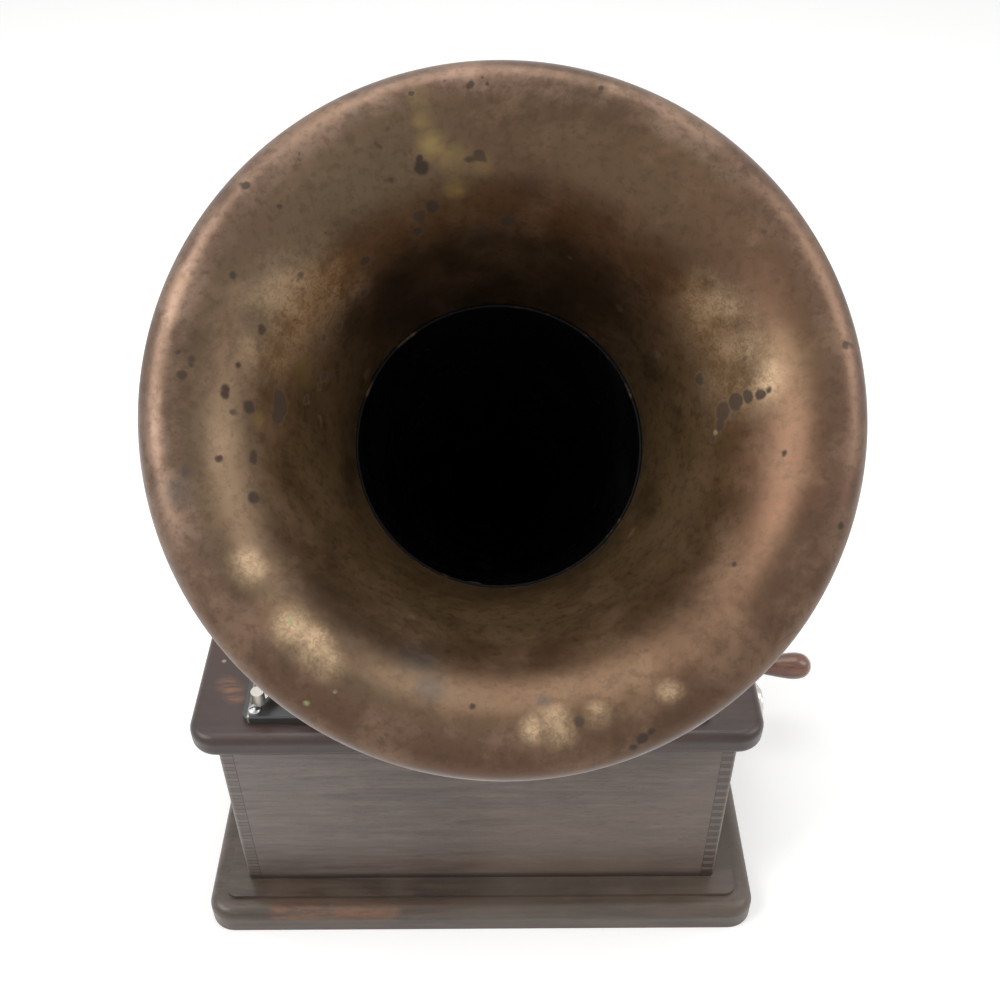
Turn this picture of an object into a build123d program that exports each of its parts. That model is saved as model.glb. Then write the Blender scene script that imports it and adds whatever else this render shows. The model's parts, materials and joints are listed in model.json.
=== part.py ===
"""A spring-driven cylinder phonograph in a finger-jointed wooden cabinet, with a brass-belled horn.

Millimetres. X runs to the right, Y to the back and Z up. The origin is the centre of the cabinet's
underside, on the surface that it stands on.
"""

from build123d import *
from math import acos, asin, atan2, cos, degrees, hypot, pi, radians, sin, sqrt, tan

# Running fits and the gap that separates pieces that only rest near each other
running = 0.05
gap = 0.3

# Cabinet
base_width = 330
base_depth = 235
base_height = 19.5
base_corner = 15.5
base_step = 2.5
base_step_inset = 11
base_round = 7
ledge = 6
body_width = 284
body_depth = 189
body_corner = 2.5
wall = 8
finger_slots = 41
deck_top = 167
deck_thickness = 15.3
deck_width = 307.3
deck_depth = 212.3
deck_corner = 15
deck_round = 5
bedplate_width = 249
bedplate_depth = 190
bedplate_thickness = 5
bedplate_corner = 4
deck_lip_x = 12.5
deck_lip_y = 11
bottom_thickness = 7

# Screws
screw_shank = 1.8
screw_head = 3.6
screw_head_height = 2
screw_length = 10
slot_width = 0.9

# Mandrel and its drive
mandrel_y = -56
mandrel_z = 217
mandrel_left = -50
mandrel_length = 112
mandrel_large = 23.3
mandrel_small = 20.7
mandrel_wall = 2.2
shaft_radius = 4
bushing_wall = 3
pulley_radius = 15
flange_radius = 17.5
flange_thickness = 1
belt_width = 5.4
belt_thickness = 1.2
pulley_width = 8
pulley_left = -100

# Feed screw, back rod and front rail
feed_y = 6
feed_z = 206
feed_radius = 4.75
feed_journal = 3.5
rod_y = 32
rod_z = 226
rod_radius = 6
rail_y = -90.5
rail_thickness = 6
rail_height = 12
rail_top = 224
pedestal_left = -78
pedestal_thickness = 10
right_pedestal_left = 84
right_pedestal_thickness = 8
foot_height = 6
foot_reach = 12

# Gears above the deck
gear_module = 1
pressure_angle = 25
addendum = 0.9
dedendum = 1.15
backlash = 0.16
mandrel_teeth = 42
idler_teeth = 22
feed_teeth = 42
gear_left = -87
gear_face = 6
cover_left = -90
cover_wall = 1.5
cover_room = 3

# End gate
gate_x = 74
gate_y = -24
gate_pin_radius = 3
gate_hub = 7
gate_hub_bottom = 203
gate_hub_top = 230
gate_arm_width = 8
gate_arm_height = 16
centre_radius = 3
centre_reach = 1.5

# Carriage, reproducer and lift
carriage_x = 6
sleeve_wall = 3
sleeve_flange = 3
hub_length = 30
hub_wall = 5
arm_width = 16
arm_bottom = 251
arm_top = 259
eye_wall = 5
reproducer_radius = 20
lever_toe = 9
lever_tip = 2.2
lever_boss = 3.2
lever_pin = 1.5
lever_handle = 27
lever_x = 24
lift_rise = 6.6
lever_turn = 60

# Horn
neck_radius = 6
neck_bore = 4
horn_corner_z = 276
horn_tilt = 46.06
horn_swing = 2.45
horn_length = 298.3
bell_depth = 53.7
mouth_radius = 89
throat_radius = 42.7
sheet = 0.8
lip_radius = 8
lip_lean = 9
lip_end = 20
bead = 1.3
bend_radius = 20
elbow_wall = 1.4
elbow_end = 18
sleeve_rubber = 2.5

# Crank
crank_y = -22.5
crank_z = 95
winding_radius = 5
crank_arm_left = 167
crank_arm_thickness = 6
crank_hub = 10
handle_y = 42.5
handle_z = 57
handle_radius = 9
handle_length = 50
handle_pin = 3

# Spring motor
plate_thickness = 4
left_plate = -62
centre_plate = -8
right_plate = 58
plate_front = -79
plate_back = 24
plate_bottom = 52
barrel_teeth = 72
barrel_pinion_teeth = 12
barrel_radius = 33
barrel_wall = 1.6
barrel_length = 38
great_wheel_left = 7
wheel_thickness = 4
train_module = 0.8
second_teeth = 60
drive_pinion_teeth = 12
governor_teeth = 60
governor_pinion_teeth = 15
drive_z = 128
arbor_radius = 2.5
drive_radius = 3
spindle_radius = 2
spring_turns = 6
spring_strip = 1.2
ratchet_teeth = 24
ratchet_tip = 15
ratchet_root = 12.2
ratchet_thickness = 4
pillar_radius = 3
governor_reach = 12
ball_radius = 4.5
disc_radius = 15

# Controls
stop_x = -107
stop_y = -74
stop_radius = 3
speed_x = -30
speed_y = -70

# Values that follow from the ones above
body_height = deck_top - deck_thickness - base_height
inner_width = body_width - 2 * wall
inner_depth = body_depth - 2 * wall
slot_height = body_height / finger_slots
bed_top = deck_top + bedplate_thickness
opening_width = bedplate_width - 2 * deck_lip_x
opening_depth = bedplate_depth - 2 * deck_lip_y
pedestal_right = pedestal_left + pedestal_thickness
mandrel_right = mandrel_left + mandrel_length
pulley_mid = pulley_left + pulley_width / 2
belt_inner = pulley_radius + gap
drive_y = mandrel_y
governor_y = drive_y
governor_z = drive_z - train_module * (governor_teeth + governor_pinion_teeth) / 2
sleeve_radius = rod_radius + running + sleeve_wall
hub_radius = sleeve_radius + running + hub_wall
eye_inner = reproducer_radius + 0.15
eye_outer = eye_inner + eye_wall
rail_back = rail_y + rail_thickness / 2
rod_to_rail = rod_y - rail_y
lift_angle = degrees(asin(lift_rise / rod_to_rail))
lever_z = rail_top + lever_tip + lever_toe * sin(radians(lever_turn)) + 2 * gap - lift_rise
barrel_left = great_wheel_left + wheel_thickness


def export(block, name):
    """Label a finished piece and write it under its own name."""
    block.part.label = name
    export_step(block.part, f"parts/{name}.step")


def across(x, y=0, z=0):
    """A plane square to X, with its own x along Y and its own y along Z."""
    return Plane(origin=(x, y, z), x_dir=(0, 1, 0), z_dir=(1, 0, 0))


def fore(y, x=0, z=0):
    """A plane square to Y that faces the back, with its own y along Z."""
    return Plane(origin=(x, y, z), x_dir=(-1, 0, 0), z_dir=(0, 1, 0))


def polar(radius, angle):
    """A point in a plane from its distance and its angle in radians."""
    return (radius * cos(angle), radius * sin(angle))


def third_corner(start, end, from_start, from_end, side):
    """The point at two given distances from two others, on one side of the line between them."""
    run_y = end[0] - start[0]
    run_z = end[1] - start[1]
    span = hypot(run_y, run_z)
    along = (from_start**2 - from_end**2 + span**2) / (2 * span)
    off = side * sqrt(max(from_start**2 - along**2, 0))
    y = start[0] + (along * run_y - off * run_z) / span
    z = start[1] + (along * run_z + off * run_y) / span
    return (y, z)


def meshing_phase(start, end, teeth, phase, other_teeth):
    """The angle of a tooth of the second gear that stands in a gap of the first, both in degrees."""
    line = degrees(atan2(end[1] - start[1], end[0] - start[0]))
    return line + 180 - teeth / other_teeth * (phase - line) + 180 / other_teeth


def gear_outline(teeth, module, phase):
    """The edges of an involute gear: one tooth drawn with arcs, and the same tooth turned round."""
    pitch = teeth * module / 2
    base = pitch * cos(radians(pressure_angle))
    tip = pitch + addendum * module
    root = pitch - dedendum * module
    foot = max(root, base)
    middle = (foot + tip) / 2
    step = 2 * pi / teeth
    mid = radians(phase)

    def half_angle(radius):
        """Half of a tooth's width at a radius, as an angle."""
        at_pitch = (pi * module / 2 - backlash / 2) / (2 * pitch)
        pitch_roll = tan(radians(pressure_angle)) - radians(pressure_angle)
        slope = acos(min(base / radius, 1))
        return at_pitch + pitch_roll - (tan(slope) - slope)

    with BuildLine() as tooth:
        if root < base:
            Line(polar(root, mid - half_angle(foot)), polar(foot, mid - half_angle(foot)))
            Line(polar(foot, mid + half_angle(foot)), polar(root, mid + half_angle(foot)))
        for side in (-1, 1):
            low = polar(foot, mid + side * half_angle(foot))
            halfway = polar(middle, mid + side * half_angle(middle))
            high = polar(tip, mid + side * half_angle(tip))
            ThreePointArc(low, halfway, high)
        ThreePointArc(polar(tip, mid - half_angle(tip)), polar(tip, mid), polar(tip, mid + half_angle(tip)))
        root_start = polar(root, mid + half_angle(foot))
        root_end = polar(root, mid + step - half_angle(foot))
        ThreePointArc(root_start, polar(root, mid + step / 2), root_end)
    edges = tooth.edges()
    return [edge.rotate(Axis.Z, degrees(step) * turn) for turn in range(teeth) for edge in edges]


def spur_gear(plane, teeth, module, face, phase, bore):
    """A spur gear on a plane, with a bore at its centre."""
    with BuildPart() as gear:
        with BuildSketch(plane):
            make_face(gear_outline(teeth, module, phase))
            Circle(bore, mode=Mode.SUBTRACT)
        extrude(amount=face)
    return gear.part


def rod(left, right, y, z, radius):
    """A plain round rod along X, added to the part being built."""
    with BuildSketch(across(left, y, z)) as profile:
        Circle(radius)
    extrude(profile.sketch, amount=right - left)


def ring(left, right, y, z, outer, inner):
    """A plain ring along X, added to the part being built."""
    with BuildSketch(across(left, y, z)) as profile:
        Circle(outer)
        Circle(inner, mode=Mode.SUBTRACT)
    extrude(profile.sketch, amount=right - left)


def bore_along_x(left, right, y, z, radius):
    """A round hole along X through the part being built."""
    with BuildSketch(across(left, y, z)) as profile:
        Circle(radius)
    extrude(profile.sketch, amount=right - left, mode=Mode.SUBTRACT)


def standing_rod(x, y, bottom, top, radius, mode=Mode.ADD):
    """An upright round rod or hole in the part being built."""
    with BuildSketch(Plane.XY.offset(bottom)) as profile:
        with Locations((x, y)):
            Circle(radius)
    extrude(profile.sketch, amount=top - bottom, mode=mode)


def screw(plane):
    """A round-headed slotted screw whose head stands on a plane and whose shank goes below it."""
    with BuildPart() as fastener:
        with BuildSketch(plane):
            Circle(screw_head)
        extrude(amount=screw_head_height)
        head_rim = fastener.faces().sort_by(Axis(plane.origin, plane.z_dir))[-1].edges()
        fillet(head_rim, screw_head_height * 0.7)
        with BuildSketch(plane):
            Circle(screw_shank)
        extrude(amount=-screw_length)
        with BuildSketch(plane.offset(screw_head_height / 2)):
            Rectangle(3 * screw_head, slot_width)
        extrude(amount=screw_head_height, mode=Mode.SUBTRACT)
    return fastener.part


# Where each screw goes: the bedplate's rim, the pedestals' feet, the motor plates and the escutcheon
rim_x = bedplate_width / 2 - deck_lip_x / 2
rim_y = bedplate_depth / 2 - deck_lip_y / 2
bedplate_spots = [(x, y) for x in (-rim_x, rim_x) for y in (-rim_y, rim_y)]
pedestal_foot_mid = pedestal_right + foot_reach / 2
right_foot_mid = right_pedestal_left + right_pedestal_thickness + foot_reach / 2
foot_spots = [
    (pedestal_foot_mid, mandrel_y),
    (pedestal_foot_mid, rod_y),
    (right_foot_mid, rod_y),
    (right_foot_mid, feed_y),
]
escutcheon_radius = 18.5
escutcheon_thickness = 2
escutcheon_screw = crank_hub + screw_head + 0.6
escutcheon_face = body_width / 2 + escutcheon_thickness


def finger_panel(along_x, side, own_slots):
    """One wall of the body, with its half of the finger joints left standing at both ends."""
    length = body_width if along_x else body_depth
    offset = side * ((body_depth if along_x else body_width) - wall) / 2
    turn = 0 if along_x else 90
    spot = (0, offset) if along_x else (offset, 0)
    face = fore(offset - wall / 2) if along_x else across(offset - wall / 2)
    notches = [
        (end * (length - wall) / 2, base_height + (slot + 0.5) * slot_height)
        for end in (-1, 1)
        for slot in range(finger_slots)
        if slot % 2 != own_slots
    ]
    with BuildPart() as panel:
        with BuildSketch(Plane.XY.offset(base_height)):
            with Locations(spot):
                Rectangle(length, wall, rotation=turn)
        extrude(amount=body_height)
        with BuildSketch(face):
            with Locations(notches):
                Rectangle(wall, slot_height)
        extrude(amount=wall, mode=Mode.SUBTRACT)
        with BuildSketch(Plane.XY.offset(base_height)):
            RectangleRounded(body_width, body_depth, body_corner)
        extrude(amount=body_height, mode=Mode.INTERSECT)
    return panel


# Base moulding: a stepped, round-nosed frame that carries the walls, rebated below for the bottom board
with BuildPart() as base_moulding:
    with BuildSketch():
        RectangleRounded(base_width, base_depth, base_corner)
    extrude(amount=base_height - base_step)
    nose = base_moulding.faces().sort_by(Axis.Z)[-1].edges()
    fillet(nose, base_round)
    with BuildSketch():
        inset = 2 * base_step_inset
        RectangleRounded(base_width - inset, base_depth - inset, base_corner - base_step_inset + 2)
    extrude(amount=base_height)
    with BuildSketch():
        Rectangle(inner_width - 2 * ledge, inner_depth - 2 * ledge)
    extrude(amount=base_height, mode=Mode.SUBTRACT)
    with BuildSketch():
        Rectangle(inner_width, inner_depth)
    extrude(amount=bottom_thickness, mode=Mode.SUBTRACT)
export(base_moulding, "base_moulding")

# Bottom board: a thin board let into the rebate, flush with the underside
with BuildPart() as bottom_board:
    with BuildSketch():
        Rectangle(inner_width, inner_depth)
    extrude(amount=bottom_thickness)
export(bottom_board, "bottom_board")

# Front and back walls
front_panel = finger_panel(True, -1, 0)
export(front_panel, "front_panel")
back_panel = finger_panel(True, 1, 0)
export(back_panel, "back_panel")

# Left wall, and right wall with the hole for the winding shaft
left_panel = finger_panel(False, -1, 1)
export(left_panel, "left_panel")
right_wall_inner = inner_width / 2
shaft_hole = winding_radius + 2
with BuildPart() as right_panel:
    add(finger_panel(False, 1, 1).part)
    bore_along_x(right_wall_inner, right_wall_inner + wall, crank_y, crank_z, shaft_hole)
    for turn in (-1, 1):
        screw_y = crank_y + turn * escutcheon_screw
        bore_along_x(right_wall_inner, right_wall_inner + wall, screw_y, crank_z, screw_shank)
export(right_panel, "right_panel")

# Deck frame: the round-nosed top board, open under the bedplate
with BuildPart() as deck_frame:
    with BuildSketch(Plane.XY.offset(deck_top - deck_thickness)):
        RectangleRounded(deck_width, deck_depth, deck_corner)
    extrude(amount=deck_thickness)
    fillet(deck_frame.faces().sort_by(Axis.Z)[-1].edges(), deck_round)
    fillet(deck_frame.faces().sort_by(Axis.Z)[0].edges(), deck_round)
    with BuildSketch(Plane.XY.offset(deck_top - deck_thickness)):
        Rectangle(opening_width, opening_depth)
    extrude(amount=deck_thickness, mode=Mode.SUBTRACT)
    for x, y in bedplate_spots:
        standing_rod(x, y, bed_top - screw_length, bed_top, screw_shank, Mode.SUBTRACT)
export(deck_frame, "deck_frame")

# Bedplate: the iron plate that carries the works above and the spring motor below
plate_spots = [
    (x + plate_thickness + 6, y)
    for x in (left_plate, centre_plate, right_plate)
    for y in (plate_front + 8, plate_back - 8)
]
belt_slot_width = pulley_width + 3
belt_slot_length = 2 * (flange_radius + 3)
with BuildPart() as bedplate:
    with BuildSketch(Plane.XY.offset(deck_top)):
        RectangleRounded(bedplate_width, bedplate_depth, bedplate_corner)
    extrude(amount=bedplate_thickness)
    chamfer(bedplate.faces().sort_by(Axis.Z)[-1].edges(), 0.8)
    with BuildSketch(Plane.XY.offset(deck_top)):
        with Locations((pulley_mid, drive_y)):
            SlotOverall(belt_slot_length, belt_slot_width, rotation=90)
        with Locations((stop_x, stop_y)):
            Circle(stop_radius + running)
        with Locations((speed_x, speed_y)):
            Circle(stop_radius + running)
        with Locations(bedplate_spots + foot_spots + plate_spots):
            Circle(screw_shank)
    extrude(amount=bedplate_thickness, mode=Mode.SUBTRACT)
export(bedplate, "bedplate")

# Crank escutcheon: the turned brass plate and bushing that the winding shaft passes through
with BuildPart() as crank_escutcheon:
    bushing_outer = shaft_hole
    ring(body_width / 2, escutcheon_face, crank_y, crank_z, escutcheon_radius, winding_radius + running)
    chamfer(crank_escutcheon.faces().sort_by(Axis.X)[-1].edges().sort_by(SortBy.LENGTH)[-1], 0.8)
    ring(right_wall_inner, body_width / 2, crank_y, crank_z, bushing_outer, winding_radius + running)
    for turn in (-1, 1):
        screw_y = crank_y + turn * escutcheon_screw
        bore_along_x(body_width / 2, escutcheon_face, screw_y, crank_z, screw_shank)
export(crank_escutcheon, "crank_escutcheon")

# Screws: one size throughout
with BuildPart() as screws:
    for x, y in bedplate_spots + plate_spots:
        add(screw(Plane(origin=(x, y, bed_top))))
    for x, y in foot_spots:
        add(screw(Plane(origin=(x, y, bed_top + foot_height))))
    for turn in (-1, 1):
        spot_y = crank_y + turn * escutcheon_screw
        add(screw(across(escutcheon_face, spot_y, crank_z)))
export(screws, "screws")

# Gear centres above the deck: the idler stands between the mandrel's gear and the feed screw's
mandrel_centre = (mandrel_y, mandrel_z)
feed_centre = (feed_y, feed_z)
idler_reach = gear_module * (mandrel_teeth + idler_teeth) / 2
idler_reach_back = gear_module * (idler_teeth + feed_teeth) / 2
idler_centre = third_corner(mandrel_centre, feed_centre, idler_reach, idler_reach_back, 1)
stud_radius = 3
bushing_outside = shaft_radius + running + bushing_wall
boss_room = 3

# Left pedestal: the casting that carries the mandrel's bearing, the feed screw, the rod and the idler
with BuildPart() as left_pedestal:
    with BuildSketch(across(pedestal_left)):
        with Locations(mandrel_centre):
            Circle(bushing_outside + boss_room)
        with Locations(feed_centre):
            Circle(feed_journal + 2 * boss_room)
        with Locations((rod_y, rod_z)):
            Circle(rod_radius + boss_room)
        with Locations(((mandrel_y + rod_y) / 2, bed_top + foot_height / 2)):
            Rectangle(rod_y - mandrel_y + 2 * boss_room, foot_height)
        make_hull()
        with Locations(((mandrel_y + feed_y) / 2 + 2, (bed_top + feed_z) / 2 - 3)):
            SlotOverall(30, 14, mode=Mode.SUBTRACT)
    extrude(amount=pedestal_thickness)
    foot_middle = ((pedestal_right + foot_reach / 2), (mandrel_y + rod_y) / 2)
    with BuildSketch(Plane.XY.offset(bed_top)):
        with Locations(foot_middle):
            Rectangle(foot_reach, rod_y - mandrel_y + 20)
    extrude(amount=foot_height)
    bore_along_x(pedestal_left, pedestal_right, mandrel_y, mandrel_z, bushing_outside)
    bore_along_x(pedestal_left, pedestal_right, feed_y, feed_z, feed_journal + running)
    bore_along_x(pedestal_left, pedestal_right, rod_y, rod_z, rod_radius)
    for x, y in foot_spots[:2]:
        standing_rod(x, y, bed_top, bed_top + foot_height, screw_shank, Mode.SUBTRACT)
    rod(gear_left - 1.5, pedestal_left, idler_centre[0], idler_centre[1], stud_radius)
export(left_pedestal, "left_pedestal")

# Right pedestal: the casting behind the end gate for the feed screw's and the rod's right ends
with BuildPart() as right_pedestal:
    right_face = right_pedestal_left + right_pedestal_thickness
    with BuildSketch(across(right_pedestal_left)):
        with Locations(feed_centre):
            Circle(feed_journal + 2 * boss_room)
        with Locations((rod_y, rod_z)):
            Circle(rod_radius + boss_room)
        with Locations(((feed_y + rod_y) / 2, bed_top + foot_height / 2)):
            Rectangle(rod_y - feed_y + 20, foot_height)
        make_hull()
    extrude(amount=right_pedestal_thickness)
    with BuildSketch(Plane.XY.offset(bed_top)):
        with Locations((right_face + foot_reach / 2, (feed_y + rod_y) / 2)):
            Rectangle(foot_reach, rod_y - feed_y + 20)
    extrude(amount=foot_height)
    bore_along_x(right_pedestal_left, right_face, feed_y, feed_z, feed_journal + running)
    bore_along_x(right_pedestal_left, right_face, rod_y, rod_z, rod_radius)
    for x, y in foot_spots[2:]:
        standing_rod(x, y, bed_top, bed_top + foot_height, screw_shank, Mode.SUBTRACT)
export(right_pedestal, "right_pedestal")

# Mandrel bushing: the brass bearing pressed into the left pedestal
with BuildPart() as mandrel_bushing:
    inside = shaft_radius + running
    ring(pedestal_left - 1, pedestal_right + 6, mandrel_y, mandrel_z, bushing_outside, inside)
export(mandrel_bushing, "mandrel_bushing")

# Mandrel: a hollow tapered drum, larger at its left end, with a web and hub at each end
with BuildPart() as mandrel:
    with BuildSketch(Plane(origin=(0, mandrel_y, mandrel_z), x_dir=(1, 0, 0), z_dir=(0, -1, 0))):
        with BuildLine():
            Polyline(
                (mandrel_left, shaft_radius),
                (mandrel_left, mandrel_large - 1),
                (mandrel_left + 1, mandrel_large),
                (mandrel_right - 1, mandrel_small),
                (mandrel_right, mandrel_small - 1),
                (mandrel_right, mandrel_small - mandrel_wall),
                (mandrel_right - 4, mandrel_small - mandrel_wall),
                (mandrel_right - 4, shaft_radius + 4),
                (mandrel_right, shaft_radius + 4),
                (mandrel_right, shaft_radius),
                (mandrel_right - 10, shaft_radius),
                (mandrel_right - 10, mandrel_small - mandrel_wall + 0.2),
                (mandrel_left + 6, mandrel_large - mandrel_wall),
                (mandrel_left + 6, shaft_radius),
                close=True,
            )
        make_face()
    revolve(axis=Axis((0, mandrel_y, mandrel_z), (1, 0, 0)))
export(mandrel, "mandrel")

# Mandrel shaft: runs from the pulley through the bearing, with a countersunk right end for the centre
shaft_right = mandrel_right + 4
with BuildPart() as mandrel_shaft:
    rod(pulley_left - 1, shaft_right, mandrel_y, mandrel_z, shaft_radius)
    with BuildSketch(Plane(origin=(0, mandrel_y, mandrel_z), x_dir=(1, 0, 0), z_dir=(0, -1, 0))):
        with BuildLine():
            Polyline((shaft_right, 0), (shaft_right, 3.5), (shaft_right - 3.5, 0), close=True)
        make_face()
    revolve(axis=Axis((0, mandrel_y, mandrel_z), (1, 0, 0)), mode=Mode.SUBTRACT)
export(mandrel_shaft, "mandrel_shaft")


def flat_pulley(y, z, bore):
    """A flanged pulley for the flat belt."""
    with BuildPart() as pulley:
        rod(pulley_left, pulley_left + flange_thickness, y, z, flange_radius)
        rod(pulley_left, pulley_left + pulley_width, y, z, pulley_radius)
        rod(pulley_left + pulley_width - flange_thickness, pulley_left + pulley_width, y, z, flange_radius)
        bore_along_x(pulley_left, pulley_left + pulley_width, y, z, bore)
    return pulley


mandrel_pulley = flat_pulley(mandrel_y, mandrel_z, shaft_radius)
export(mandrel_pulley, "mandrel_pulley")
drive_pulley = flat_pulley(drive_y, drive_z, drive_radius)
export(drive_pulley, "drive_pulley")

# Belt: a flat leather loop with straight runs between the two pulleys
with BuildPart() as belt:
    belt_span = mandrel_z - drive_z
    belt_outer = belt_inner + belt_thickness
    with BuildSketch(across(pulley_mid - belt_width / 2, mandrel_y, (mandrel_z + drive_z) / 2)):
        SlotCenterToCenter(belt_span, 2 * belt_outer, rotation=90)
        SlotCenterToCenter(belt_span, 2 * belt_inner, rotation=90, mode=Mode.SUBTRACT)
    extrude(amount=belt_width)
export(belt, "belt")

# Gears above the deck, in mesh at rest
idler_phase = meshing_phase(mandrel_centre, idler_centre, mandrel_teeth, 0, idler_teeth)
feed_phase = meshing_phase(idler_centre, feed_centre, idler_teeth, idler_phase, feed_teeth)
with BuildPart() as mandrel_gear:
    mandrel_plane = across(gear_left, *mandrel_centre)
    add(spur_gear(mandrel_plane, mandrel_teeth, gear_module, gear_face, 0, shaft_radius))
export(mandrel_gear, "mandrel_gear")
with BuildPart() as idler_gear:
    idler_bore = stud_radius + running
    idler_plane = across(gear_left, *idler_centre)
    add(spur_gear(idler_plane, idler_teeth, gear_module, gear_face, idler_phase, idler_bore))
export(idler_gear, "idler_gear")
with BuildPart() as feed_gear:
    feed_plane = across(gear_left, *feed_centre)
    add(spur_gear(feed_plane, feed_teeth, gear_module, gear_face, feed_phase, feed_journal))
export(feed_gear, "feed_gear")

# Feed screw: a long fine screw with a plain journal at each end
thread_left = pedestal_right + 1
thread_right = right_pedestal_left - 1
with BuildPart() as feed_screw:
    rod(gear_left - 0.5, right_face + 1, feed_y, feed_z, feed_journal)
    rod(thread_left, thread_right, feed_y, feed_z, feed_radius)
export(feed_screw, "feed_screw")

# Gear cover: a thin cast cover round the three gears, open towards the pedestal
cover_mandrel = gear_module * mandrel_teeth / 2 + gear_module + cover_room
cover_feed = gear_module * feed_teeth / 2 + gear_module + cover_room


def cover_outline(plane, extra):
    """The cover's outline, drawn round the two large gears."""
    with BuildSketch(plane) as outline:
        with Locations(mandrel_centre):
            Circle(cover_mandrel + extra)
        with Locations(feed_centre):
            Circle(cover_feed + extra)
        make_hull()
    return outline.sketch


with BuildPart() as gear_cover:
    extrude(cover_outline(across(cover_left), cover_wall), amount=pedestal_left - cover_left)
    fillet(gear_cover.faces().sort_by(Axis.X)[0].edges(), 1.2)
    inside_outline = cover_outline(across(cover_left + cover_wall), 0)
    extrude(inside_outline, amount=pedestal_left - cover_left, mode=Mode.SUBTRACT)
    bore_along_x(cover_left, cover_left + cover_wall, mandrel_y, mandrel_z, shaft_radius + 1.5)
export(gear_cover, "gear_cover")

# Back rod: the steel rod that the carriage slides and turns on
with BuildPart() as back_rod:
    rod(pedestal_left, right_face, rod_y, rod_z, rod_radius)
    chamfer(back_rod.edges().filter_by(GeomType.CIRCLE), 0.6)
export(back_rod, "back_rod")

# Front rail: the straight edge that the carriage's foot rides on, with its two posts
rail_left = pedestal_left + 6
rail_right = gate_x + 12
post_width = 10
with BuildPart() as front_rail:
    with BuildSketch(Plane.XY.offset(rail_top - rail_height)):
        with Locations(((rail_left + rail_right) / 2, rail_y)):
            Rectangle(rail_right - rail_left, rail_thickness)
    extrude(amount=rail_height)
    chamfer(front_rail.faces().sort_by(Axis.Z)[-1].edges().filter_by(Axis.X), 0.5)
    for x in (rail_left + post_width / 2, rail_right - post_width / 2):
        with BuildSketch(Plane.XY.offset(bed_top)):
            with Locations((x, rail_y)):
                Rectangle(post_width, rail_thickness)
        extrude(amount=rail_top - rail_height - bed_top)
        with BuildSketch(Plane.XY.offset(bed_top)):
            with Locations((x, rail_y + 2)):
                Rectangle(post_width + 12, rail_thickness + 4)
        extrude(amount=foot_height / 2)
export(front_rail, "front_rail")

# Gate post: the casting with the upright pin that the end gate turns on
with BuildPart() as gate_post:
    with BuildSketch(Plane.XY.offset(bed_top)):
        with Locations((gate_x, gate_y)):
            RectangleRounded(3 * gate_hub, 4 * gate_hub, 3)
    extrude(amount=foot_height)
    standing_rod(gate_x, gate_y, bed_top + foot_height, gate_hub_bottom - gap, gate_hub)
    standing_rod(gate_x, gate_y, gate_hub_bottom - gap, gate_hub_top + gap, gate_pin_radius)
    standing_rod(gate_x, gate_y, gate_hub_top + gap, gate_hub_top + gap + 2.5, gate_hub - 1)
export(gate_post, "gate_post")

# End gate: swings away to let a cylinder slide on, and carries the mandrel's right centre
with BuildPart() as end_gate:
    gate_front = mandrel_y - 16
    with BuildSketch(Plane.XY.offset(mandrel_z - gate_arm_height / 2)):
        with Locations((gate_x, (gate_y + gate_front) / 2)):
            Rectangle(gate_arm_width, gate_y - gate_front)
    extrude(amount=gate_arm_height)
    fillet(end_gate.faces().sort_by(Axis.Y)[0].edges().filter_by(Axis.X), 5)
    standing_rod(gate_x, gate_y, gate_hub_bottom, gate_hub_top, gate_hub)
    rod(gate_x - gate_arm_width / 2 - 1.5, gate_x + gate_arm_width / 2 + 4, mandrel_y, mandrel_z, 6.5)
    pin_hole = gate_pin_radius + running
    standing_rod(gate_x, gate_y, gate_hub_bottom, gate_hub_top, pin_hole, Mode.SUBTRACT)
    bore_along_x(gate_x - 10, gate_x + 12, mandrel_y, mandrel_z, centre_radius)
export(end_gate, "end_gate")

# Gate centre: the pointed screw that steadies the mandrel shaft, with its thumb head outside
with BuildPart() as gate_centre:
    tip_x = shaft_right - centre_reach
    head_left = gate_x + gate_arm_width / 2 + 4
    with BuildSketch(Plane(origin=(0, mandrel_y, mandrel_z), x_dir=(1, 0, 0), z_dir=(0, -1, 0))):
        with BuildLine():
            Polyline(
                (tip_x, 0),
                (tip_x + centre_radius, centre_radius),
                (head_left, centre_radius),
                (head_left, 7),
                (head_left + 5, 7),
                (head_left + 6, 6),
                (head_left + 6, 0),
                close=True,
            )
        make_face()
    revolve(axis=Axis((0, mandrel_y, mandrel_z), (1, 0, 0)))
export(gate_centre, "gate_centre")

# Carriage sleeve: slides along the back rod, with a flange each side of the arm's hub
hub_left = carriage_x - hub_length / 2
hub_right = carriage_x + hub_length / 2
sleeve_left = hub_left - gap - 4
sleeve_right = hub_right + gap + 4
with BuildPart() as carriage_sleeve:
    rod(sleeve_left, sleeve_right, rod_y, rod_z, sleeve_radius)
    rod(sleeve_left, hub_left - gap, rod_y, rod_z, sleeve_radius + sleeve_flange)
    rod(hub_right + gap, sleeve_right, rod_y, rod_z, sleeve_radius + sleeve_flange)
    bore_along_x(sleeve_left, sleeve_right, rod_y, rod_z, rod_radius + running)
export(carriage_sleeve, "carriage_sleeve")

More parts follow.
